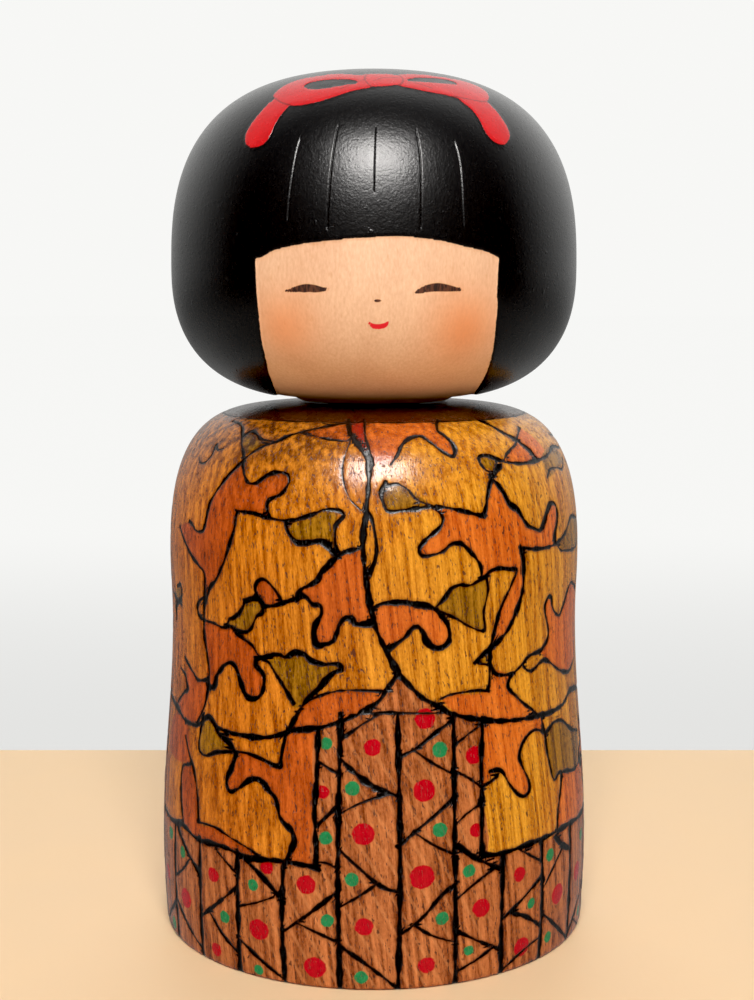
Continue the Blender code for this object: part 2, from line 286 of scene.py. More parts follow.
HAORI_STROKES = [
    (FULL, [(-66, 73.5), (-62, 71.5), (-57, 69.3), (-52.5, 67.8), (-51, 67.3), (-50.5, 66), (-51.3, 62),
      (-51.8, 57), (-51.2, 55), (-50.3, 53), (-49.2, 50), (-50, 46), (-51, 44), (-53.5, 41.5)]),
    (FULL, [(-59, 75), (-57, 74.6), (-55.5, 73.9), (-52, 74), (-51, 75), (-49.5, 79), (-48, 80.5),
      (-45, 83), (-40.5, 86.2), (-38.5, 87.6), (-34.5, 89.5), (-30, 90.8), (-27, 92), (-15, 94.8),
      (-8, 96)]),
    (FINE, [(-23, 92.5), (-18, 92), (-12, 91.3), (-8, 91.2), (-6, 92.5)]),
    (FULL, [(-40, 86.5), (-37.5, 83.8), (-36, 83), (-33.5, 83), (-30, 84.5), (-27.5, 85), (-25, 85),
      (-23.5, 84.5), (-23.2, 83.3), (-25, 81.5), (-28.5, 80.3), (-28.8, 79), (-28, 78)]),
    (FULL, [(-38.5, 78.2), (-32, 78), (-29, 77.6), (-22, 77.3), (-15.5, 78.5), (-13, 79.2), (-10.5, 79.3),
      (-8.3, 79), (-7.6, 78.3), (-9.5, 77), (-9.7, 75), (-9.5, 73.5), (-8.5, 72.3)]),
    (FULL, [(-38.5, 78), (-39, 75), (-40.5, 72.5), (-42, 70), (-44, 67.8), (-46, 66), (-48, 65),
      (-50.5, 62)]),
    (BOLD, [(-23, 77.2), (-22.5, 75.8), (-21, 74.5), (-19.5, 73.8), (-16, 74), (-13, 74.2), (-11.5, 73.5),
      (-9, 72), (-7.5, 72.5), (-3.8, 73.2)]),
    (BOLD, [(-9.2, 71.8), (-12, 70), (-13.5, 69), (-14, 68), (-16.5, 67), (-18.5, 66.3), (-20, 64.7)]),
    (BOLD, [(-20, 64.7), (-18.5, 65.3), (-17, 65), (-15.5, 64), (-13.5, 63.8), (-13.2, 62.5), (-15, 60.5),
      (-15.2, 58.5), (-14.5, 57.3), (-12.5, 57.5), (-10.5, 58), (-9.3, 59.5), (-8.5, 61), (-7, 61.9),
      (-5.5, 61.8), (-4.5, 61), (-1.2, 61)]),
    (FULL, [(-31, 64.5), (-31.8, 65.8), (-31, 67), (-29.5, 67.5), (-28, 67.2), (-25, 65.3), (-24, 64.2)]),
    (BOLD, [(-35, 63.5), (-33, 64), (-31, 64.2), (-29, 63.2), (-27, 63.2), (-24, 63.8), (-20, 64.7)]),
    (FULL, [(-35, 63.5), (-37, 61.5), (-39, 60.5), (-41, 60), (-41.5, 59.2)]),
    (FULL, [(-30, 63.8), (-29.5, 62), (-31.5, 61.2), (-33.5, 59), (-35, 58.4), (-37, 58.2), (-41, 58.8)]),
    (FULL, [(-50.5, 63), (-53.5, 62), (-55, 60.8), (-54.5, 59.7), (-52.5, 59), (-47, 58.8), (-44, 58.4),
      (-40, 58.8), (-38, 57.7), (-33, 56.2), (-31.5, 55), (-30.5, 54.5)]),
    (BOLD, [(-49.5, 48), (-47.5, 47.8), (-46.5, 48.5), (-46, 50), (-44.5, 51), (-43, 52), (-41, 52.7),
      (-39, 52.4), (-37, 50), (-35, 47.8), (-33.5, 47.4), (-31.5, 47.6), (-30, 48.5), (-29.3, 50.3),
      (-29.5, 51.6), (-32, 53.2), (-32, 54), (-30.5, 54.5)]),
    (BOLD, [(-30.5, 54.5), (-25, 55.3), (-23, 55), (-20.5, 55.8), (-18, 55.7), (-16, 54.7), (-13, 54.3),
      (-8.5, 54.3), (-8.2, 53.5), (-10, 53), (-12, 51.8), (-14, 50.2), (-16, 49), (-18, 47.5),
      (-20.3, 45), (-21.5, 43.5)]),
    (FULL, [(-30, 54.3), (-28, 53.8), (-26, 52.2), (-24, 50.5), (-21, 47.8)]),
    (FINE, [(-19.5, 46.3), (-17, 48), (-14, 49), (-10, 49.9), (-6, 50.2), (4.5, 50)]),
    (BOLD, [(-61, 40.3), (-55, 40.4), (-53, 40.8), (-50, 42.3), (-48.5, 42.6), (-44, 41.3), (-33, 41.1),
      (-29, 41.3), (-25, 42), (-21, 43), (-13, 44), (-9, 44.9), (-2, 47), (1, 48.3), (3, 50), (6.3, 53)]),
    (FINE, [(-5, 46.3), (2, 46.6), (12, 46.3), (17, 46.2)]),
    (FULL, [(-51, 43), (-52, 40), (-52.5, 38), (-52.3, 36.7), (-50.5, 36), (-48, 36.2), (-45, 37.1),
      (-39.5, 37.9), (-36, 38.2), (-33, 38.2), (-28, 37.5), (-25.5, 37), (-24, 37), (-23.8, 38.5),
      (-22.8, 42)]),
    (BOLD, [(-48.5, 42.5), (-46, 41.5), (-44, 40.3), (-40, 39.3), (-37.5, 37.8)]),
    (BOLD, [(-37.5, 37.8), (-39, 35), (-40.2, 33.5), (-40.2, 32), (-39, 31.3), (-37, 31.8), (-33, 33.8),
      (-31, 34.3), (-29, 34), (-27, 32.8), (-25, 31.6), (-23.5, 28.5), (-20.3, 26.5), (-19.7, 25),
      (-20.3, 23.8), (-22, 21)]),
    (BOLD, [(-14, 43.7), (-14.2, 35), (-14.6, 30), (-14, 24), (-14, 21.2)]),
    (BOLD, [(-14, 21), (-22, 21.4), (-34, 21), (-40, 21.6), (-52, 21.3), (-59, 22.3), (-68, 21.6),
      (-78, 22)]),
    (FULL, [(-58.5, 22.5), (-60, 25), (-61, 28), (-61.3, 31), (-60.5, 32.5), (-57, 33.3)]),
    (FINE, [(-51, 24.2), (-47, 24.5), (-43, 24.4), (-39, 23.7), (-33, 22.6), (-30, 21.8)]),
    (FULL, [(-50.8, 24.3), (-51.8, 28.5), (-53, 31), (-54.5, 33), (-57, 34.8), (-60, 37.5)]),
    (FULL, [(-63, 51), (-60, 50), (-57, 49), (-55, 48.3), (-52, 48.5), (-49.5, 49)]),
    (FULL, [(-66, 48.8), (-62.5, 48), (-61.5, 47), (-60.3, 46), (-63, 45), (-66, 43.5), (-69, 42)]),
    (BOLD, [(-72, 57), (-71.8, 59), (-69, 60.2), (-66, 61.2), (-65, 62.5), (-66, 63.5), (-69, 63)]),
    (FINE, [(-62, 86), (-60, 85.3), (-57, 85.5), (-55, 87), (-55.5, 89), (-53, 88), (-51, 88.3)]),
    (FULL, [(-58, 94.5), (-52, 94), (-48, 92.8), (-45, 91.3), (-43, 92.5), (-40, 92), (-37, 91),
      (-31, 90.5)]),
    (FULL, [(-45, 91), (-43, 89.3), (-41, 88), (-40, 87)]),
    (BOLD, [(-61, 40.3), (-68, 41.6), (-78, 42.5)]),
    (BOLD, [(-78, 44), (-78.4, 34), (-77.6, 28), (-78, 22)]),
    (BOLD, [(-1.6, 89), (-1.2, 84), (-1.8, 80), (-2.6, 75), (-2.5, 72), (-2, 69), (-0.5, 63), (0.8, 60),
      (2.5, 57.5), (6.5, 52.8), (9, 51), (12, 49), (15, 47.8), (20, 45.8)]),
    (FULL, [(-1.5, 79), (-0.3, 77.5), (0.5, 75), (0.8, 73), (0.2, 71), (-1, 69.3)]),
    (THIN, [(-6.5, 92), (-8.2, 88), (-8.5, 86), (-7.8, 83.5), (-6, 81), (-4, 79.7), (-2.5, 79)]),
    (BOLD, [(-9, 97), (-7.5, 93), (-6, 91.5), (-4, 90), (-1.5, 87.5)]),
    (FINE, [(-3.4, 97), (-2.5, 92), (-1.5, 90), (-0.3, 87)]),
    (FULL, [(5, 87), (7, 88.7), (8, 90), (10, 91.3), (12.5, 92), (15, 92), (17, 90.8), (21, 88.5),
      (23.2, 88), (24.2, 89), (24, 90.5), (22.5, 92), (21, 93.2), (21.5, 94.5), (23.5, 96.5)]),
    (FULL, [(3, 83.5), (2, 82), (2.5, 80.5), (3.5, 79.2), (7, 79.2), (15, 79.7), (18, 79.6), (24, 78.7),
      (29.5, 77.7)]),
    (FINE, [(3, 83), (6, 83.5), (9, 82.5), (11, 81), (15.5, 79.7)]),
    (BOLD, [(29.5, 77.7), (30.5, 79), (31.5, 81), (33, 83), (35, 84.5), (37, 85.5)]),
    (FULL, [(35.5, 84.8), (33, 85), (31.5, 86), (31, 87.3), (32.5, 87.8), (35, 87.6), (38, 86.8),
      (45, 85.9), (54.5, 86), (62, 86.5), (70, 87.7), (80, 87)]),
    (FINE, [(40, 86.8), (42, 87.8), (48, 89.5), (50, 90.5), (56, 92.6)]),
    (BOLD, [(40, 96), (43, 94), (45, 92.3), (49, 90.3), (53, 87.8), (54.5, 86.5)]),
    (FINE, [(57.5, 83), (60, 84), (66, 84), (70, 83.5), (76, 85)]),
    (BOLD, [(33.6, 84), (36.5, 81.7), (38.5, 79.3), (41, 78.3), (44.5, 75.5), (47, 74.8), (49.5, 74.3),
      (51.5, 75.3), (53.5, 77), (56, 78.3), (58, 78.3), (59.3, 77.3), (59, 75.5), (56.8, 72.8), (57, 71.5)]),
    (FULL, [(41.2, 72), (48, 71.3), (56, 71.3), (60, 71.8), (64, 72.8), (70, 75), (78, 74.3)]),
    (FINE, [(57.5, 71.5), (60, 70.2), (64, 69.7), (74, 69.3), (80, 70)]),
    (BOLD, [(41.3, 72), (42.3, 70), (42.5, 67.5), (42.3, 65), (41, 62.5), (39, 60), (36.5, 58),
      (34, 56.8), (31.5, 55.8), (27, 54)]),
    (FULL, [(15.3, 79.6), (17.5, 78.5), (18, 77.5), (17, 76.3), (13, 74.3), (11.5, 73), (12, 72),
      (15, 72), (18, 72.6), (20, 73.6), (22.5, 73.6), (24.5, 72.6), (27.7, 70.3), (28.5, 68.8),
      (28.5, 67.5), (31, 68.7), (34, 69), (37, 68.7), (40, 68.3), (38.5, 66.5), (34.5, 62), (33, 59),
      (31.5, 55.5)]),
    (FULL, [(15.5, 63.3), (18, 64.8), (20, 66.4), (22.5, 66.9), (25, 66.7), (29, 67.8)]),
    (FINE, [(30, 67.6), (30.5, 66), (30, 64), (29.3, 62), (29.7, 59), (25, 60), (22, 61.2), (15.5, 63.3)]),
    (BOLD, [(0.5, 63.8), (2, 64.3), (7, 64.5), (10, 64.2), (15.5, 63.3), (17.5, 62), (19, 60.7),
      (19.7, 59), (19.3, 57.5), (17.5, 56.8), (15, 57), (13.5, 58), (12.5, 59.5), (11, 60.5), (9.5, 60),
      (8, 58.8), (4, 57)]),
    (FULL, [(27, 54), (29, 53.5), (31.5, 53.2)]),
    (FULL, [(31.5, 56), (31.5, 53), (31, 49.5), (30.5, 49)]),
    (FULL, [(31.5, 53.8), (32.5, 52), (34, 51.3), (39.5, 51.2), (43, 52.5), (45, 53.3), (50.5, 53.8)]),
    (FULL, [(43, 52), (44, 51.3), (46, 50.8), (47.5, 51), (51.5, 52), (54, 51.6), (57, 50.5), (60, 49.4),
      (68, 48), (74, 49)]),
    (FULL, [(39.5, 51.2), (37.5, 50), (37.3, 49), (38.5, 48), (40, 47.2), (43, 45.5), (45.5, 44.5),
      (48, 43)]),
    (FULL, [(50.5, 53.7), (54, 55.5), (54.3, 57), (52.5, 60), (52.3, 61.5), (54, 62.7), (55.5, 62.3),
      (56, 61), (58, 59.5), (61, 58.8), (64, 60.5), (69, 63.5), (77, 62)]),
    (BOLD, [(20, 46), (23, 45.2), (27, 44.5), (35, 43.5), (45, 43), (55, 42.7), (63, 43.2), (68, 44.5),
      (80, 43.4), (92, 42.8)]),
    (FINE, [(17.5, 48.5), (20, 49), (24, 49.2), (28, 49.2), (30.5, 48.9)]),
    (BOLD, [(28.8, 44.3), (28.7, 42), (28.2, 39), (28, 33), (27.8, 29), (27.5, 25), (27.7, 22)]),
    (BOLD, [(27.7, 22), (31, 21.6), (42, 21.8), (60, 22), (72, 21.5), (82, 21.9), (92, 21.4)]),
    (FULL, [(28, 33.2), (31, 34), (32.5, 34.5)]),
    (FULL, [(31, 35.6), (33, 35.6), (34.5, 35), (36, 33.3), (38, 31.6), (40, 30.4), (42, 30.2),
      (43.5, 31), (43.3, 32.5), (41, 35.5), (40.3, 37), (42, 39.3), (44, 40.2), (46.5, 40.7), (49, 40.3),
      (51, 39.6), (55.5, 40.7), (58, 40.8), (61, 40.3), (67, 38), (74, 36.5)]),
    (FULL, [(49.5, 42.8), (51, 39.6), (51.5, 37), (52.3, 34.5), (54.3, 31), (57, 31.8), (60, 31.6),
      (68, 30.6), (78, 31.5)]),
    (FULL, [(58.5, 31.5), (57.5, 29), (55.5, 25.5), (54.8, 22.2)]),
    (BOLD, [(92, 42.8), (92.3, 35), (91.6, 28), (92, 21.4)]),
]

LEAF_AREAS = [
    [(-66, 73.5), (-59, 75), (-57, 74.6), (-55.5, 73.9), (-52, 74), (-51, 75), (-49.5, 79), (-48, 80.5),
      (-45, 83), (-40.3, 86.4), (-37.5, 83.8), (-36, 83), (-33.5, 83), (-30, 84.5), (-27.5, 85),
      (-25, 85), (-23.5, 84.5), (-23.2, 83.3), (-25, 81.5), (-28.5, 80.3), (-28.8, 79), (-28, 78),
      (-32, 78), (-38.5, 78), (-39, 75), (-40.5, 72.5), (-42, 70), (-44, 67.8), (-48, 65), (-50.5, 62),
      (-51.3, 62), (-50.5, 66), (-51, 67.3), (-52.5, 67.8), (-57, 69.3), (-62, 71.5)],
    [(-3.8, 73.2), (-7.5, 72.5), (-9.2, 71.8), (-12, 70), (-13.5, 69), (-14, 68), (-18.5, 66.3),
      (-20, 64.9), (-18.5, 65.2), (-17, 65), (-15.5, 64), (-13.5, 63.8), (-13.2, 62.5), (-15, 60.5),
      (-15.2, 58.5), (-14.5, 57.3), (-12.5, 57.5), (-10.5, 58), (-9.3, 59.5), (-8.5, 61), (-7, 61.9),
      (-5.5, 61.8), (-4.5, 61), (-1.2, 61), (-0.5, 63), (-2, 69), (-2.5, 72)],
    [(-31, 64.5), (-31.8, 65.8), (-31, 67), (-29.5, 67.5), (-28, 67.2), (-25, 65.3), (-24, 64.2),
      (-27, 63.2), (-29, 63.2)],
    [(-51.8, 58.8), (-47, 58.8), (-44, 58.4), (-40, 58.8), (-38, 57.7), (-33, 56.2), (-30.5, 54.5),
      (-32, 53.6), (-29.5, 51.6), (-29.3, 50.3), (-30, 48.5), (-31.5, 47.6), (-33.5, 47.4), (-35, 47.8),
      (-37, 50), (-39, 52.4), (-41, 52.7), (-43, 52), (-46, 50), (-46.5, 48.5), (-49.5, 48), (-50.3, 53),
      (-51.2, 55)],
    [(-21.5, 43), (-19.5, 46.3), (-17, 48), (-14, 49), (-10, 49.9), (-6, 50.2), (4, 50.3), (1, 48.3),
      (-5, 46), (-9, 44.9), (-13, 44)],
    [(-36, 38.2), (-37.5, 37.8), (-39, 35), (-40.2, 33.5), (-40.2, 32), (-39, 31.3), (-37, 31.8),
      (-33, 33.8), (-31, 34.3), (-29, 34), (-25, 31.6), (-23.5, 28.5), (-20.3, 26.5), (-19.7, 25),
      (-20.3, 23.8), (-22, 21.2), (-14.1, 21.2), (-14, 24), (-14.6, 30), (-14.1, 43.6), (-21, 43),
      (-22.8, 42), (-23.8, 38.5), (-24, 37), (-25.5, 37), (-28, 37.5), (-33, 38.2)],
    [(-49.5, 49), (-55, 48.4), (-60, 50), (-61.5, 47), (-60.3, 46), (-69, 42), (-61, 40.3), (-53.5, 41.5),
      (-51, 44), (-50, 46)],
    [(-59, 22.3), (-60, 25), (-61.3, 31), (-57, 34.4), (-54.5, 33), (-53, 31), (-51.8, 28.5), (-51, 24.2),
      (-43, 24.4), (-39, 23.7), (-30, 21.8), (-40, 21.6), (-52, 21.3)],
    [(-74, 34), (-72, 39), (-66, 41), (-60, 40.3), (-57, 34.8), (-61, 33)],
    [(-23, 92.6), (-12, 91.3), (-8, 91.2), (-8.4, 95.8), (-15, 94.8)],
    [(-1.5, 88.5), (-3.2, 96), (-2, 99), (20, 99), (23.5, 96.5), (21, 93.4), (24, 90.5), (23.4, 88),
      (21, 88.5), (15, 92), (10, 91.3), (7, 88.7), (5, 87), (0, 87)],
    [(29.5, 77.7), (30.5, 79), (33.6, 84), (36.5, 81.7), (38.5, 79.3), (41, 78.3), (44.5, 75.5),
      (49.5, 74.3), (53.5, 77), (56, 78.3), (58, 78.3), (59.3, 77.3), (59, 75.5), (56.8, 72.8),
      (57, 71.3), (48, 71.3), (41.2, 72), (42.3, 70), (42.5, 67.5), (42.3, 65), (41, 62.5), (39, 60),
      (36.5, 58), (31.7, 55.8), (33, 59), (34.5, 62), (38.5, 66.5), (40, 68.3), (34, 69), (28.5, 67.5),
      (28.5, 68.8), (27.7, 70.3), (24.5, 72.6), (22.5, 73.6), (20, 73.6), (18, 72.6), (12, 72),
      (11.5, 73), (13, 74.3), (17, 76.3), (18, 77.5), (15.3, 79.6), (24, 78.7)],
    [(40, 86.8), (42, 87.8), (50, 90.5), (56, 92.6), (62, 86.5), (54.5, 86), (45, 85.9)],
    [(0.5, 63.8), (7, 64.5), (15.5, 63.3), (17.5, 62), (19.7, 59), (19.3, 57.5), (17.5, 56.8), (15, 57),
      (12.5, 59.5), (11, 60.5), (9.5, 60), (8, 58.8), (4, 57), (2.5, 57.5), (0.8, 60)],
    [(17.5, 48.5), (20, 49), (30.5, 49), (32.5, 52), (38.5, 50.5), (37.3, 49), (43, 45.5), (48, 43),
      (35, 43.5), (23, 45.2)],
    [(28.8, 44), (28, 33.2), (32.5, 35.6), (34.5, 35), (36, 33.3), (40, 30.4), (42, 30.2), (43.5, 31),
      (43.3, 32.5), (40.3, 37), (42, 39.3), (46.5, 40.7), (51, 39.6), (49.5, 42.8)],
    [(50.5, 53.7), (54.3, 56.4), (52.5, 60), (52.3, 61.5), (54, 62.7), (55.5, 62.3), (58, 59.5),
      (61, 58.8), (69, 63.5), (77, 62), (79, 55), (74, 49), (68, 48), (60, 49.4), (54, 51.6)],
    [(54.8, 22), (57.5, 29), (58.5, 31.5), (68, 30.6), (78, 31.5), (80, 26), (76, 21.7)],
]

OLIVE_AREAS = [
    [(-23, 77.2), (-18, 78), (-15.5, 78.5), (-13, 79.2), (-9.4, 79), (-9.7, 75), (-9.5, 72.9),
      (-13, 74.2), (-19.5, 73.8), (-22.5, 75.8)],
    [(-37, 61.8), (-35, 63.5), (-30.5, 64), (-29.5, 62), (-31.5, 61.2), (-33.5, 59), (-37, 58.3),
      (-41, 58.9), (-41, 60)],
    [(-28, 54.6), (-23, 55), (-20.5, 55.8), (-18, 55.7), (-13, 54.3), (-8.5, 54), (-12, 51.8),
      (-18, 47.5), (-20.3, 46.8), (-24, 50.5)],
    [(-45, 91.3), (-43, 92.5), (-37, 91), (-32, 90.6), (-36, 88.5), (-41, 88), (-43, 89.3)],
    [(-52, 40.8), (-50, 42.3), (-46, 41.5), (-40, 39.3), (-37.5, 37.9), (-45, 37.1), (-50.5, 36),
      (-52.3, 36.7)],
    [(3, 83.5), (6, 83.5), (9, 82.5), (15, 79.7), (7, 79.2), (3.5, 79.2), (2, 82)],
    [(15.5, 63.3), (20, 66.4), (25, 66.7), (29.6, 67.8), (30.3, 65), (29.3, 62), (29.7, 59), (22, 61.2)],
    [(27, 54), (31.5, 56), (31.5, 53.2)],
    [(51, 39.6), (58, 40.8), (67, 38), (74, 36.5), (70, 31), (57, 31.8), (54.3, 31), (52.3, 34.5)],
    [(57.5, 83), (58, 86.3), (70, 87.7), (76, 85), (66, 84)],
    [(57, 71.5), (64, 72.8), (70, 75), (78, 74.3), (80, 70), (64, 69.7)],
    [(31.5, 86.2), (32.5, 87.7), (37, 86.8), (35, 85.2)],
    [(-72, 57), (-69, 60.2), (-65, 62.5), (-69, 63), (-74, 60)],
]

SKIRT_OPENING = [
    (-14.1, 21), (-14.6, 30), (-14.1, 43.8), (-9, 44.9), (-2, 47), (1, 48.3), (3, 50), (6.3, 53), (9, 51),
    (12, 49), (20, 46), (27, 44.5), (28.8, 44.2), (28, 33), (27.7, 21),
]
COLLAR = [(-9.5, 99), (-7.2, 93), (-5, 90.8), (-1.6, 88), (-2.5, 92), (-3.6, 99)]
SLEEVE_ENDS = 21.4
BACK_HEM = 42.8
NECK_RING = 95.9
SLEEVES = ((-78.0, -14.0), (28.0, 92.0))  # degrees round that each one covers

FRONT_PLEATS = [-64, -50, -36, -22.5, -8.3, 6, 20.6, 33.8, 47.5, 62.5]
OPENING_PLEATS = {-8.3: 46, 6: 46.4, 20.6: 45.8}  # how far up these three reach
PLEATS_ROUND = 26
PLEAT_FOOT = 0.3
# The rows that repeat round the back: heights in mm, and the least and greatest radius of a dot.
ROW_STARTS, ROW_HEIGHT = (-1.0, 14.0, 29.0), 12.0
SLANT_LOW, SLANT_HIGH = 2.5, 9.5
RED_RADII, GREEN_RADII = (1.4, 1.9), (0.9, 1.2)
SKIRT_SEED = 11
PLEAT_STROKES = [
    (BOLD, [(-8, 38.9), (-5, 37), (0, 34.6), (6, 33)]),
    (FULL, [(-8, 24), (-3, 21), (2, 18.2), (6, 17.2)]), (FULL, [(-8, 8), (-3, 5.6), (3, 2.4), (6, 0.6)]),
    (FINE, [(-8, 30.2), (-3, 32), (4, 33.5)]), (FINE, [(-8, 14.8), (-4, 16.4), (1, 18.8)]),
    (FINE, [(-8, 42.3), (-3, 44.6), (1, 46.2)]),
    (FULL, [(6.2, 39.3), (10, 40.4), (15, 42.6), (20.6, 45)]),
    (FULL, [(6.2, 25), (12, 28), (20.6, 32.2)]), (FULL, [(6.2, 9.8), (12, 12.8), (17, 16.4), (20.6, 18)]),
    (FINE, [(10, 40.4), (15, 38), (20.6, 35.8)]), (FINE, [(10, 27), (14, 25), (20.6, 22.5)]),
    (FINE, [(9.5, 11.7), (14, 9.6), (20.5, 7.8)]), (FULL, [(20.6, 36.4), (24, 35.2), (28, 33.2)]),
    (BOLD, [(20.8, 24.2), (25, 22), (30, 20), (33.6, 18.8)]),
    (FULL, [(20.6, 9.8), (26, 7.6), (33.6, 4.8)]), (FINE, [(21, 40.8), (24, 42), (28, 43.4)]),
    (FINE, [(21, 28), (24, 29.4), (28, 30.6)]), (FINE, [(21, 15.4), (25, 17.2), (30, 19)]),
    (FINE, [(21.3, 2.8), (26, 4), (30.5, 5.5)]), (FULL, [(34, 10.3), (41, 13), (47.5, 15.5)]),
    (FINE, [(40, 21), (47.5, 18)]), (FULL, [(36, 11), (42, 9.2), (47, 6.8)]),
    (FINE, [(34, 1), (41, 3.4), (47.4, 4.6)]), (BOLD, [(54, 21), (58, 18.8), (62.5, 17.4)]),
    (FULL, [(48, 8.7), (55, 5), (62, 1.2)]), (FINE, [(48, 13), (52, 15.6), (57, 18.4)]),
    (FULL, [(-22, 9.8), (-15, 13.6), (-8.4, 17.4)]), (FINE, [(-18.6, 11.2), (-13, 9.8), (-8.4, 8.6)]),
    (FINE, [(-14, 22), (-11, 21.8), (-8.4, 20.8)]), (FINE, [(-14, 38.4), (-8.4, 36.4)]),
    (FULL, [(-14.4, 27.6), (-8.4, 31.6)]), (BOLD, [(-34, 20.8), (-28, 18), (-22.6, 14.8)]),
    (FULL, [(-36, 6.6), (-30, 4), (-23, 1.2)]), (FINE, [(-35.6, 12.2), (-30, 13.6), (-25, 15.2)]),
    (FULL, [(-49.6, 8), (-42, 12), (-36.2, 15.4)]), (FINE, [(-43, 20.6), (-36.4, 17.8)]),
    (FULL, [(-46, 9.2), (-41, 6), (-36.2, 3.8)]), (BOLD, [(-62, 21), (-56, 18), (-50.2, 15.4)]),
    (FULL, [(-63.6, 8), (-57, 4.6), (-50.4, 2)]), (FINE, [(-63, 12.6), (-59, 14.4), (-55, 17)]),
]
RED_DOTS = [
    (-0.3, 41, 1.4), (13, 45.4, 1.7), (12.5, 33.7, 1.8), (11.8, 19.6, 2.0), (-2.5, 26.9, 1.8),
    (-2.3, 11.5, 1.5), (-14.5, 4, 1.8), (-16.5, 18, 1.6), (-12.6, 33.5, 1.1), (26, 38.7, 1.5),
    (26, 26.3, 1.2), (27.3, 13, 1.6), (13, 4.5, 1.4), (39, 17.2, 1.3), (40.3, 4.2, 1.7), (55, 10.8, 1.8),
    (-29.5, 9, 1.8), (-27, 20, 1.2), (-44.3, 16.2, 1.3), (-44, 3, 1.2), (-57.5, 9.5, 1.8),
]
GREEN_DOTS = [
    (16.7, 40.2, 1.3), (-11.8, 41.4, 1.0), (-5.2, 34.3, 1.2), (-11.7, 26, 1.1), (16.3, 27.1, 1.2),
    (-5.2, 19.4, 1.1), (23.8, 19.7, 1.1), (16.8, 12.3, 1.1), (24, 6, 0.9), (-3, 2.8, 1.1),
    (-11.3, 12.3, 1.1), (-31, 16.5, 1.0), (-40.5, 9.5, 1.1), (43.3, 11.4, 0.9), (51, 18.5, 1.1),
    (51, 3.8, 1.0), (-58.8, 17.5, 1.0), (-30, 1.8, 0.9),
]

# The back, which the photograph doesn't show: one leaf in its own mm, stalk down, laid out at the places
# listed.
BACK_LEAF = [
    (0, -8), (4, -9.5), (7, -7), (5, -4.5), (9.5, -3.5), (12, -0.5), (8.5, 1.5), (6, 1.2), (7.5, 5.5),
    (5.5, 9), (2.8, 6.8), (1.6, 5.2), (0.2, 9), (-2.2, 12), (-4.6, 8.6), (-3.6, 4.6), (-7, 5.2),
    (-10.5, 3.2), (-9, 0), (-5.6, -1.2), (-8, -4.4), (-6, -7.6), (-2.6, -6.4),
]
BACK_OLIVE = [(0, -8), (4, -9.5), (7, -7), (5, -4.5), (2, -2), (-0.5, -4)]
BACK_VEINS = [
    [(-1, -13), (0, -8), (0.4, -2), (-0.8, 4)], [(0.4, -2), (4, 0), (8.5, -0.6)],
    [(0.2, -2.4), (-4, -0.4), (-7.6, 2.4)],
]
BACK_PLACES = [
    (98, 72, 20, 1.0), (128, 84, 160, 0.85), (122, 57, 75, 1.0), (152, 68, 305, 1.05), (176, 84, 40, 0.9),
    (184, 56, 200, 1.0), (208, 73, 120, 1.05), (236, 58, 340, 1.0), (238, 85, 220, 0.85),
    (264, 72, 75, 0.95), (84, 31.5, 15, 0.6), (266, 52, 280, 0.75), (96, 52, 130, 0.7),
]
BACK_FOLDS = [
    [(92, 42.6), (112, 43.2), (140, 42.4), (170, 43), (205, 42.5), (240, 43.1), (262, 42.5), (282, 42.5)],
    [(78, 90), (92, 88), (104, 80), (112, 70), (110, 62), (100, 55), (92, 43)],
    [(104, 80), (118, 76), (134, 74), (140, 66), (138, 58), (146, 48), (150, 43)],
    [(134, 74), (146, 80), (158, 88), (166, 96)],
    [(158, 88), (170, 74), (168, 66), (176, 62), (192, 66), (196, 76), (192, 88), (200, 96)],
    [(192, 66), (204, 58), (206, 50), (214, 43)],
    [(196, 76), (214, 84), (226, 80), (228, 70), (222, 62), (230, 50), (238, 43)],
    [(226, 80), (242, 74), (256, 80), (262, 90), (258, 97)], [(256, 80), (270, 66), (280, 62), (294, 60)],
]


def leaf_on_back(points, place):
    """A leaf line in its own mm, turned, scaled and put where place says, as (degrees, mm) points."""
    around, up, turn, size = place
    angle = math.radians(turn)
    out = []
    for x, y in points:
        across = size * (x * math.cos(angle) - y * math.sin(angle))
        along = size * (x * math.sin(angle) + y * math.cos(angle))
        out.append((around + across / DEGREE_MM, up + along))
    return out


def haori_strokes():
    """The burnt lines of the haori: the traced front, the leaves and folds of the back, the neck ring."""
    strokes = list(HAORI_STROKES)
    for place in BACK_PLACES:
        leaf = leaf_on_back(BACK_LEAF, place)
        strokes.append((BOLD, leaf + leaf[:1]))
        strokes.extend((FINE, leaf_on_back(vein, place)) for vein in BACK_VEINS)
    strokes.extend((FULL, fold) for fold in BACK_FOLDS)
    strokes.append((FINE, [(turn, NECK_RING) for turn in range(-180, 181, 12)]))
    return strokes


def skirt_top(around):
    """How far up the pleats reach at this angle: to the back hem, or to the end of a sleeve."""
    covered = any(start < wrapped(around) < end for start, end in SLEEVES)
    return SLEEVE_ENDS if covered else BACK_HEM


def front_pleat_edges(random):
    strokes = []
    for edge in FRONT_PLEATS:
        top = OPENING_PLEATS.get(edge, SLEEVE_ENDS)
        middle = edge + random.uniform(-0.5, 0.5)
        strokes.append((BOLD, [(edge, PLEAT_FOOT), (middle, top * 0.5), (edge, top)]))
    return strokes


def side_and_back_pleats():
    """The pleat edges the photograph doesn't show, evenly spaced round the back."""
    first, last = FRONT_PLEATS[-1], FRONT_PLEATS[0] + 360.0
    count = PLEATS_ROUND - len(FRONT_PLEATS) + 1
    return [first + (last - first) * i / count for i in range(count + 1)]


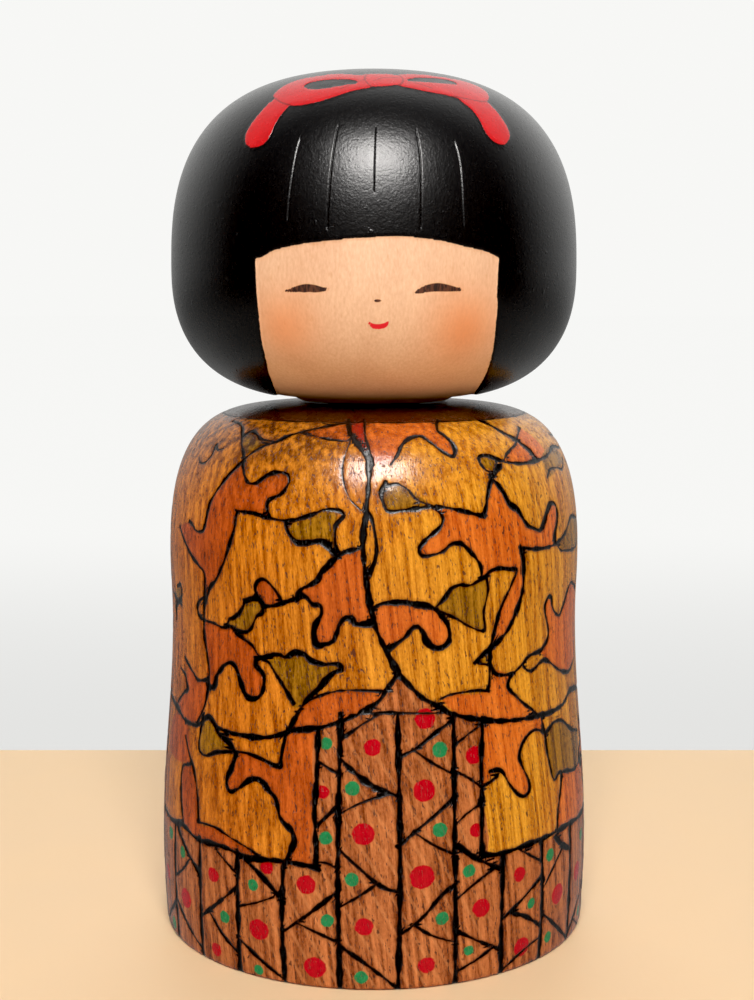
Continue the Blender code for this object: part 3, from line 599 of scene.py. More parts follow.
def pleat_row(left, right, top, rising, start, random):
    """What is drawn from this height on one pleat: strokes, red dots and green dots that fit under top."""
    width = right - left
    start += random.uniform(-1.0, 1.0)
    low, high = start + SLANT_LOW, start + SLANT_HIGH
    ends = (low, high) if rising else (high, low)
    strokes = []
    if high < top + 1.0 and low > PLEAT_FOOT + 0.1:
        strokes.append((FULL, [(left, ends[0]), (left + width * 0.5, sum(ends) / 2), (right, ends[1])]))
    if rising and start + ROW_HEIGHT < top:
        strokes.append((FINE, [(left + width * 0.3, start + 4.6), (right, start + 0.5)]))
    elif start + ROW_HEIGHT < top:
        strokes.append((FINE, [(left, start + 0.5), (left + width * 0.62, start + 4.4)]))
    red_up = start + (ROW_HEIGHT + 1.0 if rising else ROW_HEIGHT)
    red = (left + width * 0.42, red_up, random.uniform(*RED_RADII))
    green = (left + width * (0.74 if rising else 0.24), start + 4.6, random.uniform(*GREEN_RADII))
    reds = [red] if red[1] + 2.0 < top else []
    greens = [green] if green[1] > 1.4 and green[1] + 1.6 < top else []
    return strokes, reds, greens


def skirt_drawing():
    """The pleat edges, the slanting strokes between them and the painted dots, all round."""
    random = np.random.default_rng(SKIRT_SEED)
    strokes, reds, greens = list(PLEAT_STROKES), list(RED_DOTS), list(GREEN_DOTS)
    strokes += front_pleat_edges(random)
    edges = side_and_back_pleats()
    for i, (left, right) in enumerate(zip(edges[:-1], edges[1:])):
        top = min(skirt_top(left + 0.5), skirt_top(right - 0.5))
        middle = left + random.uniform(-0.6, 0.6)
        strokes.append((BOLD, [(left, PLEAT_FOOT), (middle, 12), (left, skirt_top(left))]))
        for start in ROW_STARTS:
            row = pleat_row(left, right, top, i % 2 == 0, start, random)
            for held, new in zip((strokes, reds, greens), row):
                held.extend(new)
    return strokes, reds, greens


def skirt_edge(skin):
    """mm outside the red-brown skirt: below zero where it shows."""
    above = skin.up - np.vectorize(skirt_top)(skin.around)
    return np.minimum(above, area_edge(skin, [SKIRT_OPENING]))


# ---- What is painted and cut on the head ----

HAIR_EDGE = [
    (-31.8, 37.6), (-30, 37.8), (-26, 38.9), (-22, 39.4), (-17, 39.9), (-12, 40.2), (-5, 40.6), (1, 40.8),
    (8, 40.9), (13, 40.6), (18, 40.2), (24, 39.4), (30, 38.7), (34, 37.8),
]
HAIR_RIGHT = [
    (34.1, 37.6), (33.9, 35), (33.9, 32), (34.5, 30), (35, 27), (36.2, 24), (38, 20.5), (40.5, 17),
    (44, 13.5), (49, 10.5), (56, 8), (66, 6.4), (80, 5.8), (110, 5.5), (145, 5.6), (180, 5.5),
]
HAIR_LEFT = [
    (-180, 5.5), (-145, 5.4), (-110, 5.6), (-80, 5.6), (-66, 5.9), (-58, 6.8), (-50, 9), (-44, 11.5),
    (-40, 14), (-37, 17), (-34.5, 20), (-33, 24), (-32.2, 27), (-31.8, 30), (-31.8, 36), (-31.9, 37.5),
]
EYES = [
    [(-24, 32.3), (-22, 32.75), (-20, 33.2), (-17.5, 33.5), (-15, 33.35), (-13, 33.0), (-11.3, 32.75),
      (-13, 32.4), (-15, 32.25), (-18, 32.25), (-21, 32.3)],
    [(10.5, 32.15), (12, 32.9), (14, 33.4), (16.5, 33.65), (19, 33.45), (21.5, 33.05), (23.8, 32.65),
      (21.5, 32.45), (19, 32.4), (17, 32.4), (14, 32.3), (12, 32.1)],
    [(0.2, 30.9), (0.7, 31.08), (1.5, 31.06), (1.95, 30.9), (1.3, 30.72), (0.6, 30.74)],
]
MOUTH = [
    [(-1.4, 27.45), (0, 27.05), (1.3, 26.95), (2.6, 27.1), (4.0, 27.45), (3.5, 26.8), (2.6, 26.45),
      (1.3, 26.3), (0.1, 26.4), (-0.8, 26.8)],
]
CHEEKS = ((-24.5, 26.6, 5.5, 0.74), (25.4, 26.2, 6.4, 0.84))
BANG_CUTS = [
    (0.08, [(-21.0, 56.5), (-21.3, 55), (-21.6, 52), (-22, 48), (-22.3, 44)]),
    (0.10, [(-10.3, 58.5), (-10.7, 56), (-11.2, 51), (-11.5, 46), (-11.7, 42.5)]),
    (0.055, [(0.7, 58.5), (0.5, 56), (0.3, 52), (0.2, 48)]),
    (0.10, [(12.3, 57.5), (12.6, 54), (12.4, 49), (12.1, 45), (12, 42.5)]),
    (0.085, [(23.2, 56), (23.6, 54), (23.6, 50), (23.4, 46), (23.5, 43)]),
]

# The bow, on a flat map of the crown seen from above: mm from its centre, y negative to the front.
BOW = [
    [(-17.9, -23), (-19.6, -24.2), (-21.7, -25.6), (-23.3, -27.1), (-23.8, -28.6), (-23.2, -30.5),
      (-21.8, -31.6), (-20.4, -32), (-19.1, -31.5), (-17.5, -29.4), (-15.8, -27.7), (-14.4, -26.4),
      (-14.6, -23)],
    [(-17.1, -21.7), (-16.3, -24.4), (-13.8, -27.1), (-11.3, -28), (-8.8, -28.2), (-6.3, -27.7),
      (-3.3, -26.7), (-0.4, -25.8), (0.6, -23.4), (-0.4, -20.9), (-2.5, -20.4), (-3.8, -19.8),
      (-6.3, -18.3), (-9.2, -17.9), (-12.1, -17.4), (-14.2, -17.9), (-15.8, -19), (-16.9, -20.4)],
    [(-1.7, -20.4), (-1.7, -23), (-1.3, -25.4), (0, -25.7), (3.3, -25), (4.6, -24.2), (4.9, -22.4),
      (4.4, -20.6), (1.7, -19.8)],
    [(4.0, -24.6), (6.7, -25.3), (9.6, -25.3), (12.1, -24.8), (14.2, -24.4), (16.7, -23.1), (18.8, -21.7),
      (19.8, -19.6), (19.8, -17.5), (19.2, -15.8), (17.9, -14.6), (15.4, -14.6), (13.8, -15.4),
      (10.8, -16.7), (7.5, -17.9), (5, -19.2), (3.8, -20.4)],
    [(14.4, -22.6), (14.6, -24.6), (17.1, -26), (18.8, -27.5), (20.4, -29.4), (22.1, -30), (24.2, -29),
      (25.1, -26.7), (24.8, -25), (23.3, -23.3), (21.3, -21.9), (19, -20.6)],
]
BOW_CREASES = [
    (0.16, [(-14.2, -26.8), (-15.4, -25.4), (-16.4, -23.6), (-17.2, -21.4)]),
    (0.16, [(13.6, -24.4), (16.7, -23.1), (18.8, -21.7), (20, -20)]),
    (0.15, [(-0.3, -26), (-1.3, -23.6), (-1.4, -21.4), (-0.6, -19.4)]),
    (0.15, [(4.4, -24.8), (4.9, -22.4), (4.2, -20.2)]),
    (0.10, [(-5.2, -25.6), (-3.2, -24.4), (-1.6, -23)]),
    (0.10, [(5.2, -22.4), (7.4, -23.2), (9.6, -23.8)]), (0.10, [(0.2, -23.4), (1.6, -22.2), (3.6, -21.8)]),
]
BOW_HOLES = [
    [(-11.7, -21.7), (-11, -23.3), (-9.6, -24.4), (-7.5, -24.7), (-5, -24.6), (-2.6, -24.1),
      (-3.3, -22.9), (-5, -22.1), (-7.1, -21.3), (-9.2, -20.9), (-10.8, -20.9)],
    [(5.4, -22.5), (7.5, -22.1), (10, -21.3), (12.5, -20), (14, -18.8), (13.8, -17.9), (11.7, -17.9),
      (9.2, -19.2), (7.1, -20.4)],
]


def on_crown(skin, curve):
    """Points of the flat crown map as (degrees, mm up the surface)."""
    away = np.hypot(curve[:, 0], curve[:, 1])
    return np.stack([np.degrees(np.arctan2(curve[:, 0], -curve[:, 1])), skin.length - away], -1)


def crown_edge(skin, outlines):
    """Signed distance in mm to the edge of areas on the flat crown map: below zero inside any of them."""
    away = skin.length - skin.up
    x, y = away * np.sin(np.radians(skin.around)), -away * np.cos(np.radians(skin.around))
    edge = np.inf
    for outline in outlines:
        curve = smooth_curve(outline, PAINT_STEP, closed=True)
        distance = edge_distance(skin, on_crown(skin, curve))
        edge = np.minimum(edge, np.where(inside(x, y, curve), -distance, distance))
    return edge


def bow_edge(skin):
    """Signed distance in mm to the painted bow's edge: below zero on its paint."""
    return np.maximum(crown_edge(skin, BOW), -crown_edge(skin, BOW_HOLES))


def bare_wood_edge(skin):
    """Signed distance in mm to the edge of the black hair: below zero on the face and under the hair."""
    border = np.vstack([surface_curve(part, PAINT_STEP) for part in (HAIR_LEFT, HAIR_EDGE, HAIR_RIGHT)])
    outline = np.vstack([border, [(180.5, -2), (-180.5, -2)]])
    covered = inside(skin.around, skin.up, outline)
    distance = edge_distance(skin, border)
    return np.where(covered, -distance, distance)


def blush(skin):
    """The colour rubbed into the cheeks, from 0 to 1."""
    amount = np.zeros(skin.around.shape)
    for around, up, reach, strength in CHEEKS:
        away = np.hypot((skin.around - around) * DEGREE_MM, skin.up - up)
        amount = np.maximum(amount, strength * np.exp(-(away / reach) ** 2))
    return amount


# ---- The two skins ----

FOOT_RADIUS = 30.0  # mm: the base's outer edge is wider than this
FOOT_INSET = 0.4
CROWN_HEIGHT = 130.0  # mm: near the axis, the crown is above this and the bore below it
BODY_ROWS = 214
FACE_ROWS = (20, 42)
CUT_COLUMNS = (-21.6, -11.0, 0.5, 12.3, 23.4)
CUT_WINDOW, CUT_STEP = 1.2, 0.16  # degrees either side of a cut, and the angle between columns there
BURN_DEPTH, DOT_HEIGHT = 0.16, 0.05
HAIR_HEIGHT, BOW_HEIGHT, CUT_DEPTH = 0.25, 0.10, 0.09


def column_angles(fine, coarse, reach, cuts=()):
    """Angles round the block: fine within reach of the front, coarse behind, with more at each cut."""
    front = np.arange(-reach, reach, fine)
    for cut in cuts:
        front = front[np.abs(front - cut) > CUT_WINDOW + 0.1]
    close = [np.arange(cut - CUT_WINDOW, cut + CUT_WINDOW + 0.05, CUT_STEP) for cut in cuts]
    back = np.arange(reach, 360.0 - reach, coarse)
    return np.sort(wrapped(np.concatenate([front, back] + close)))


def upward(rings):
    return sorted(rings, key=lambda ring: ring[1])


def body_rows(length):
    return np.linspace(0.0, length, BODY_ROWS)


def head_rows(length, fine=0.33, coarse=0.6):
    """Places up the head, closer together over the face."""
    low, high = FACE_ROWS
    below, face = np.arange(0, low, coarse), np.arange(low, high, fine)
    return np.concatenate([below, face, np.arange(high, length, coarse), [length]])


def body_skin():
    """The body's wall from its foot to the neck seat, closed by its base and by the socket's bore."""
    rings = cad_rings("body")
    foot = min(ring for ring in rings if ring[1] == 0.0 and ring[0] > FOOT_RADIUS)
    seat_height = max(height for _, height in rings)
    rim = max(ring for ring in rings if ring[1] == seat_height)
    wall = upward(ring for ring in rings if ring[0] > rim[0] and ring[1] > 0.0)
    bore = sorted(ring for ring in rings if 0.0 < ring[0] < rim[0] and ring[1] > foot[1])
    narrow = bore[0][0]
    mouth = max(radius for radius, _ in bore)
    lip = max(height for radius, height in bore if radius == narrow)
    floor = min(height for _, height in bore)
    before = [(0.0, 0.0), (foot[0] - FOOT_INSET, 0.0)]
    after = [(mouth, seat_height), (narrow, lip), (narrow, floor), (0.0, floor)]
    columns = column_angles(fine=0.6, coarse=1.2, reach=84.0)
    return TurnedSkin([foot] + wall + [rim], before, after, columns, body_rows)


def head_skin():
    """The head's wall from its neck seat to the middle of the crown, closed by the peg's bore."""
    rings = cad_rings("head")
    seat_height = min(height for _, height in rings)
    rim = max(ring for ring in rings if ring[1] == seat_height)
    top = max(height for _, height in rings)
    wall = upward(ring for ring in rings if ring[0] > rim[0] and ring[1] > seat_height)
    middle = [ring for ring in rings if ring[0] > 0.0]
    crown = upward(ring for ring in middle if ring[0] <= rim[0] and ring[1] > CROWN_HEIGHT)
    bore = [ring for ring in middle if ring[0] < rim[0] and ring[1] < CROWN_HEIGHT]
    narrow = min(radius for radius, _ in bore)
    mouth = max(radius for radius, _ in bore)
    roof = max(height for _, height in bore)
    lip = min(height for radius, height in bore if radius == narrow)
    before = [(0.0, roof), (narrow, roof), (narrow, lip), (mouth, seat_height)]
    columns = column_angles(fine=0.5, coarse=1.25, reach=44.0, cuts=CUT_COLUMNS)
    return TurnedSkin([rim] + wall + crown + [(0.0, top)], before, [], columns, head_rows)


def stroke_attributes(name, fields):
    return dict(zip((name + "_across", name + "_reach", name + "_half"), fields))


def build_body(material):
    skin = body_skin()
    pleats, reds, greens = skirt_drawing()
    burn = stroke_fields(skin, haori_strokes() + pleats, seed=3, unevenness=0.30)
    leaves = LEAF_AREAS + [leaf_on_back(BACK_LEAF, place) for place in BACK_PLACES]
    olives = OLIVE_AREAS + [leaf_on_back(BACK_OLIVE, place) for place in BACK_PLACES]
    skirt = skirt_edge(skin)
    red = np.maximum(dot_edge(skin, reds), skirt)
    green = np.maximum(dot_edge(skin, greens), skirt)
    relief = -BURN_DEPTH * smoothstep(0.15, -0.45, stroke_depth(burn))
    relief += DOT_HEIGHT * smoothstep(0.15, -0.25, np.minimum(red, green))
    relief *= smoothstep(0.0, 1.0, skin.up) * smoothstep(0.0, 1.0, skin.length - skin.up)
    drawn = {
        "leaf": area_edge(skin, leaves), "olive": area_edge(skin, olives),
        "collar": area_edge(skin, [COLLAR]), "skirt": skirt,
        "red_dot": red, "green_dot": green, "up": skin.up,
    }
    drawn.update(stroke_attributes("burn", burn))
    return skin.build("body_block", relief, drawn, material)


def build_head(material):
    skin = head_skin()
    cuts = stroke_fields(skin, BANG_CUTS, seed=5, unevenness=0.08)
    lines = [(half, on_crown(skin, np.array(line))) for half, line in BOW_CREASES]
    creases = stroke_fields(skin, lines, seed=8, unevenness=0.2)
    bare = bare_wood_edge(skin)
    bow = bow_edge(skin)
    relief = -HAIR_HEIGHT * smoothstep(0.25, -0.15, bare) + BOW_HEIGHT * smoothstep(0.2, -0.2, bow)
    relief -= CUT_DEPTH * smoothstep(0.12, -0.12, stroke_depth(cuts)) * smoothstep(0.0, 0.6, bare)
    relief *= smoothstep(0.0, 2.0, skin.up)
    drawn = {
        "bare": bare, "bow": bow, "eyes": area_edge(skin, EYES), "mouth": area_edge(skin, MOUTH),
        "blush": blush(skin), "up": skin.up,
    }
    drawn.update(stroke_attributes("cut", cuts))
    drawn.update(stroke_attributes("crease", creases))
    return skin.build("head_block", relief, drawn, material)


# ---- Materials ----

def colour(red, green, blue):
    """A linear colour from display values of 0 to 255."""
    def linear(value):
        value /= 255.0
        return value / 12.92 if value <= 0.04045 else ((value + 0.055) / 1.055) ** 2.4
    return (linear(red), linear(green), linear(blue), 1.0)


class Graph:
    """Builds a node graph. Sockets and plain numbers can both be inputs."""

    def __init__(self, tree, coordinates):
        self.tree = tree
        self.place = self.node("ShaderNodeTexCoord").outputs[coordinates]

    def node(self, kind, **settings):
        node = self.tree.nodes.new(kind)
        for key, value in settings.items():
            setattr(node, key, value)
        return node

    def put(self, socket, value):
        if isinstance(value, bpy.types.NodeSocket):
            self.tree.links.new(value, socket)
        else:
            socket.default_value = value

    def math(self, operation, *values):
        node = self.node("ShaderNodeMath", operation=operation)
        for socket, value in zip(node.inputs, values):
            self.put(socket, value)
        return node.outputs[0]

    def add(self, *terms):
        total = terms[0]
        for term in terms[1:]:
            total = self.math("ADD", total, term)
        return total

    def times(self, a, b):
        return self.math("MULTIPLY", a, b)

    def less(self, a, b):
        return self.math("SUBTRACT", a, b)

    def ramp(self, value, low, high, first, last):
        """Smoothly from first where value is low to last where it is high."""
        node = self.node("ShaderNodeMapRange", interpolation_type="SMOOTHSTEP")
        for socket, number in zip(node.inputs, (value, low, high, first, last)):
            self.put(socket, number)
        return node.outputs["Result"]

    def axes(self):
        """The place's x, y and z."""
        node = self.node("ShaderNodeSeparateXYZ")
        self.put(node.inputs[0], self.place)
        return node.outputs

    def choose(self, share, first, second):
        node = self.node("ShaderNodeMix")
        for socket, value in zip(node.inputs[:1] + node.inputs[2:4], (share, first, second)):
            self.put(socket, value)
        return node.outputs[0]


class Looks(Graph):
    """Builds one material's node graph, in places on the object."""

    def __init__(self, name):
        self.material = bpy.data.materials.new(name)
        self.material.use_nodes = True
        super().__init__(self.material.node_tree, "Object")
        self.shader = self.tree.nodes["Principled BSDF"]

    def centred(self, noise, size):
        return self.times(self.less(noise, 0.5), size)

    def fade(self, value, start, end, to=1.0):
        """Smoothly from 0 where value is start to this much where it is end."""
        if end > start:
            return self.ramp(value, start, end, 0.0, to)
        return self.ramp(value, end, start, to, 0.0)

    def drawn(self, name):
        return self.node("ShaderNodeAttribute", attribute_name=name).outputs["Fac"]

    def stroke_edge(self, name, wobble):
        """mm outside a stroke's edge, from the three distances drawn on the skin."""
        across = self.math("ABSOLUTE", self.drawn(name + "_across"))
        reach = self.less(self.drawn(name + "_reach"), STROKE_END)
        edge = self.less(self.math("MAXIMUM", across, reach), self.drawn(name + "_half"))
        return self.add(edge, wobble)

    def noise(self, scale, detail=2.0, roughness=0.5, place=None):
        """Noise of about this many cells a metre along each axis, from 0 to 1."""
        stretched = self.node("ShaderNodeVectorMath", operation="MULTIPLY")
        self.put(stretched.inputs[0], self.place if place is None else place)
        stretched.inputs[1].default_value = scale if isinstance(scale, tuple) else (scale, scale, scale)
        node = self.node("ShaderNodeTexNoise")
        self.put(node.inputs["Vector"], stretched.outputs[0])
        self.put(node.inputs["Scale"], 1.0)
        self.put(node.inputs["Detail"], detail)
        self.put(node.inputs["Roughness"], roughness)
        return node.outputs["Fac"]

    def mix(self, share, first, second):
        node = self.node("ShaderNodeMix", data_type="RGBA")
        self.put(node.inputs["Factor"], share)
        self.put(node.inputs[6], first)
        self.put(node.inputs[7], second)
        return node.outputs[2]

    def over(self, base, colour_on_top, value, start, end, to=1.0):
        """base with another colour faded in over it as value goes from start to end."""
        return self.mix(self.fade(value, start, end, to), base, colour_on_top)

    def bump(self, height_mm):
        """Bends the shading as if the surface stood this many mm proud."""
        node = self.node("ShaderNodeBump")
        node.inputs["Distance"].default_value = MM
        self.put(node.inputs["Height"], height_mm)
        return node.outputs["Normal"]

    def rings(self, pith_x, pith_y, lean_x, lean_y, spacing, warp):
        """Growth rings as a wave from 0 to 1, round a leaning pith; places in metres."""
        x, y, z = self.axes()
        x = self.less(self.add(x, self.times(z, lean_x)), pith_x)
        y = self.less(self.add(y, self.times(z, lean_y)), pith_y)
        away = self.math("SQRT", self.add(self.times(x, x), self.times(y, y)))
        waver = self.centred(self.noise((38.0, 38.0, 11.0), 3.0), warp)
        turns = self.add(self.math("DIVIDE", away, spacing / (2.0 * math.pi)), waver)
        return self.add(0.5, self.times(0.5, self.math("SINE", turns)))

    def leaning(self, lean_x, lean_y):
        """Places sheared so that what is drawn along +Z leans over as it rises."""
        x, y, z = self.axes()
        join = self.node("ShaderNodeCombineXYZ")
        self.put(join.inputs[0], self.add(x, self.times(z, lean_x)))
        self.put(join.inputs[1], self.add(y, self.times(z, lean_y)))
        self.put(join.inputs[2], z)
        return join.outputs[0]

    def finish(self, base, roughness, height_mm, specular=0.5):
        """Base colour, roughness and height may vary; the specular level is one constant."""
        self.put(self.shader.inputs["Base Color"], base)
        self.put(self.shader.inputs["Roughness"], roughness)
        self.put(self.shader.inputs["Normal"], self.bump(height_mm))
        self.shader.inputs["Specular IOR Level"].default_value = specular
        return self.material


def wood_grain(looks, ring, streaks, fibres, specks):
    """How pale the body's wood is, from 0 to 1."""
    grain = looks.add(looks.times(ring, 0.17), looks.times(looks.fade(streaks, 0.36, 0.64), 0.54))
    grain = looks.add(grain, looks.centred(fibres, 0.66), looks.centred(specks, 0.80), 0.10)
    return looks.math("MINIMUM", looks.math("MAXIMUM", grain, 0.0), 1.0)


def stains(looks, grain):
    """The ground, leaf, olive and skirt colours; ground and leaf are warmer on the left, and darker there as
    painted shade.
    """
    x, y, _ = looks.axes()
    # Partly painted shade: ground and leaf get lighter towards +X, where more light falls; the warmer left
    # is the stain.
    to_right = looks.fade(x, -0.026, 0.022)
    dark_ground = looks.mix(to_right, colour(132, 62, 8), colour(150, 82, 10))
    pale_ground = looks.mix(to_right, colour(230, 144, 46), colour(238, 170, 56))
    ground = looks.mix(grain, dark_ground, pale_ground)
    dark_leaf = looks.mix(to_right, colour(126, 50, 18), colour(168, 72, 24))
    pale_leaf = looks.mix(to_right, colour(204, 98, 38), colour(228, 128, 50))
    leaf = looks.mix(grain, dark_leaf, pale_leaf)
    ground = looks.over(ground, leaf, looks.noise(55.0), 0.45, 0.72, 0.22)
    olive = looks.mix(grain, colour(76, 46, 12), colour(178, 128, 34))
    skirt = looks.mix(grain, colour(108, 50, 20), colour(206, 126, 74))
    arcs = looks.fade(looks.rings(0.030, -0.030, 0.55, 0.10, 0.0027, 5.0), 0.78, 1.0, 0.24)
    skirt = looks.mix(looks.times(arcs, looks.fade(y, -0.031, -0.036)), skirt, colour(222, 150, 96))
    return ground, leaf, olive, skirt


def stained_wood(looks, grain, streaks):
    """The stains where they are drawn, the collar above the neck ring painted near-black as the head's
    shadow, and painted shade on the left shoulder.
    """
    ground, leaf, olive, skirt = stains(looks, grain)
    ragged = looks.centred(looks.noise(900.0), 0.35)
    up = looks.drawn("up")
    base = looks.over(ground, leaf, looks.add(looks.drawn("leaf"), ragged), 0.25, -0.25)
    base = looks.over(base, olive, looks.add(looks.drawn("olive"), ragged), 0.25, -0.25, 0.94)
    base = looks.over(base, skirt, looks.drawn("skirt"), 0.2, -0.2)
    base = looks.over(base, colour(150, 8, 26), looks.drawn("collar"), 0.1, -0.25, 0.9)
    # Painted shadow: above the neck ring the collar is painted near-black, for the shade under the head.
    base = looks.over(base, colour(40, 9, 7), up, NECK_RING, NECK_RING + 0.3, 0.92)
    # Painted shade: the left shoulder darkens towards the neck, where the head's shadow falls, streaked with
    # the wood's grain.
    shoulder_shade = looks.times(looks.fade(up, 78.0, 92.0), looks.fade(looks.axes()[0], 0.004, -0.016, 0.75))
    shoulder_shade = looks.times(shoulder_shade, looks.add(0.30, looks.fade(streaks, 0.66, 0.34, 0.8)))
    return looks.mix(shoulder_shade, base, colour(46, 22, 10))


def wood_pores(looks, ring, streaks, fibre_place):
    """The open pores of the wood, from 0 to 1, thickest in its dark streaks."""
    pores = looks.noise((3300.0, 3300.0, 1000.0), 1.0, 0.5, fibre_place)
    in_rows = looks.add(looks.times(looks.less(0.5, streaks), 0.34),
                        looks.times(looks.less(0.5, ring), 0.05))
    return looks.fade(looks.add(pores, in_rows), 0.62, 0.70)


def painted_dots(looks, base, pore):
    """The red and green dots, dabbed on so that a little of each pore shows through."""
    dab = looks.centred(looks.noise(1100.0), 0.5)
    cover = looks.less(0.97, looks.times(pore, 0.25))
    shaded = looks.noise(1600.0)
    for name, dark, pale in (("red_dot", colour(150, 0, 20), colour(192, 2, 34)),
                             ("green_dot", colour(14, 104, 58), colour(36, 146, 92))):
        dot = looks.fade(looks.add(looks.drawn(name), dab), 0.12, -0.12)
        base = looks.mix(looks.times(dot, cover), base, looks.mix(shaded, dark, pale))
    return base


def burnt(looks, base, edge):
    """The burnt lines, brown at the rim and black in the middle, with a scorched halo."""
    base = looks.over(base, colour(82, 32, 8), edge, 0.55, 0.0, 0.35)
    char = looks.over(colour(56, 24, 10), colour(8, 5, 5), edge, 0.0, -0.22)
    return looks.over(base, char, edge, 0.06, -0.08)


def body_wood():
    looks = Looks("zelkova_stained_and_burnt")
    fibre_place = looks.leaning(0.10, 0.05)
    ring = looks.rings(0.074, -0.022, 0.10, 0.03, 0.00155, 4.0)
    streaks = looks.noise((880.0, 880.0, 14.0), 4.0, 0.66, fibre_place)
    fibres = looks.noise((3600.0, 3600.0, 150.0), 2.0, 0.6, fibre_place)
    specks = looks.noise((3000.0, 3000.0, 1500.0), 2.0, 0.6, fibre_place)
    base = stained_wood(looks, wood_grain(looks, ring, streaks, fibres, specks), streaks)
    pore = wood_pores(looks, ring, streaks, fibre_place)
    base = looks.mix(looks.times(pore, 0.78), base, colour(66, 24, 5))
    base = painted_dots(looks, base, pore)
    wobble = looks.centred(looks.noise(1200.0), 0.26)
    wobble = looks.add(wobble, looks.centred(looks.noise(480.0, 1.0), 0.24))
    edge = looks.stroke_edge("burn", wobble)
    base = burnt(looks, base, edge)

    crust = looks.centred(looks.noise(2400.0, 3.0), looks.fade(edge, 0.3, -0.1, 0.022))
    height = looks.add(looks.times(looks.fade(edge, 0.04, -0.34), -0.05), looks.times(pore, -0.035),
                       looks.centred(fibres, 0.03), looks.centred(specks, 0.02), crust)
    burn = looks.fade(edge, 0.06, -0.08)
    roughness = looks.add(0.22, looks.times(pore, 0.3), looks.centred(streaks, 0.12),
                          looks.times(burn, 0.10))
    return looks.finish(base, roughness, height, 0.32)


def face_wood(looks, speckle, cloud):
    """The head's bare wood with painted shade towards the chin, the cheeks rubbed in and the eyes, nose and
    mouth drawn on it.
    """
    flecks = looks.noise((1500.0, 1500.0, 420.0))
    eyes = looks.drawn("eyes")
    wood = looks.mix(looks.add(looks.times(speckle, 0.6), looks.times(cloud, 0.4)),
                     colour(196, 140, 102), colour(247, 212, 180))
    wood = looks.over(wood, colour(196, 134, 84), flecks, 0.66, 0.74, 0.22)
    # Painted shade: the face darkens towards the chin, where it turns down away from the light.
    wood = looks.over(wood, colour(206, 132, 88), looks.drawn("up"), 20.0, 3.0, 0.3)
    rubbed = looks.times(looks.drawn("blush"), looks.add(0.5, looks.times(speckle, 0.35)))
    wood = looks.mix(rubbed, wood, colour(228, 124, 42))
    hairs = looks.noise((2600.0, 2600.0, 500.0))
    lash = looks.over(colour(44, 20, 12), colour(92, 50, 30), hairs, 0.42, 0.60)
    wood = looks.over(wood, colour(206, 128, 66), eyes, 0.20, 0.0, 0.55)
    wood = looks.over(wood, lash, eyes, 0.10, -0.04)
    return looks.over(wood, colour(214, 8, 34), looks.drawn("mouth"), 0.20, 0.04)


def bow_paint(looks, ragged):
    brushed = looks.noise((300.0, 900.0, 300.0), 3.0, 0.6)
    red = looks.mix(brushed, colour(178, 22, 28), colour(212, 34, 38))
    return looks.over(red, colour(96, 14, 16), looks.stroke_edge("crease", ragged), 0.12, -0.10, 0.62)


def head_height(looks, speckle, peel, black, bow):
    """The head's fine relief in mm: orange peel and nibs in the black, its cuts, and the bow's paint."""
    cut = looks.fade(looks.stroke_edge("cut", looks.centred(speckle, 0.06)), 0.10, -0.16)
    nibs = looks.fade(looks.noise(700.0, 2.0, 0.6), 0.64, 0.78)
    low = looks.fade(looks.drawn("up"), 50.0, 42.0)
    painted = looks.add(looks.centred(peel, 0.026), looks.times(looks.times(nibs, low), 0.05),
                        looks.centred(looks.noise(3000.0), 0.022))
    height = looks.add(looks.times(black, painted), looks.centred(speckle, 0.012))
    height = looks.less(height, looks.times(looks.times(cut, black), 0.05))
    return looks.add(height, looks.times(bow, 0.03))


def head_paint():
    looks = Looks("dogwood_with_lacquered_hair")
    speckle = looks.noise((2600.0, 2600.0, 900.0), 2.0, 0.6)
    cloud = looks.noise((160.0, 160.0, 60.0), 3.0)
    peel = looks.noise(1500.0, 3.0, 0.55)
    ragged = looks.centred(looks.noise(1500.0), 0.12)
    black = looks.fade(looks.add(looks.drawn("bare"), ragged), -0.06, 0.06)
    bow = looks.fade(looks.add(looks.drawn("bow"), ragged), 0.10, -0.10)
    hair = looks.mix(cloud, colour(14, 14, 16), colour(18, 17, 18))
    base = looks.mix(black, face_wood(looks, speckle, cloud), hair)
    base = looks.mix(bow, base, bow_paint(looks, ragged))
    roughness = looks.add(0.50, looks.times(black, -0.24), looks.centred(peel, 0.10))
    return looks.finish(base, roughness, head_height(looks, speckle, peel, black, bow), 0.40)


def beech():
    looks = Looks("beech_dowel")
    streaks = looks.noise((900.0, 900.0, 40.0), 4.0, 0.6)
    flecks = looks.noise((2200.0, 2200.0, 500.0), 1.0)
    base = looks.mix(streaks, colour(196, 152, 108), colour(226, 188, 146))
    base = looks.over(base, colour(150, 98, 62), flecks, 0.62, 0.70, 0.5)
    roughness = looks.add(0.5, looks.centred(streaks, 0.2))
    return looks.finish(base, roughness, looks.centred(streaks, 0.03))


# ---- Studio ----

CAMERA_PLACE = (0.00055, -0.2872, 0.1117)
CAMERA_DOWN = 7.09
CAMERA_LENS = 57.6
TABLE_BACK = 0.103
LIGHTS_AIM = Vector((0.0, 0.0, 0.09))
LIGHTS_AWAY = 1.5
FRONT_LIGHT = (2.0, 44.0)
BACK_LIGHT = (180.0, 11.0)
STUDIO_WHITE = (250, 250, 248)
BLACK_LEVEL = 0.0088


def add_camera():
    camera = bpy.data.cameras.new("camera")
    camera.lens = CAMERA_LENS
    camera.sensor_width = 36.0
    camera.clip_start = 0.01
    camera.clip_end = 20.0
    holder = in_scene("camera", camera)
    holder.location = CAMERA_PLACE
    holder.rotation_euler = (math.radians(90.0 - CAMERA_DOWN), 0.0, 0.0)
    bpy.context.scene.camera = holder


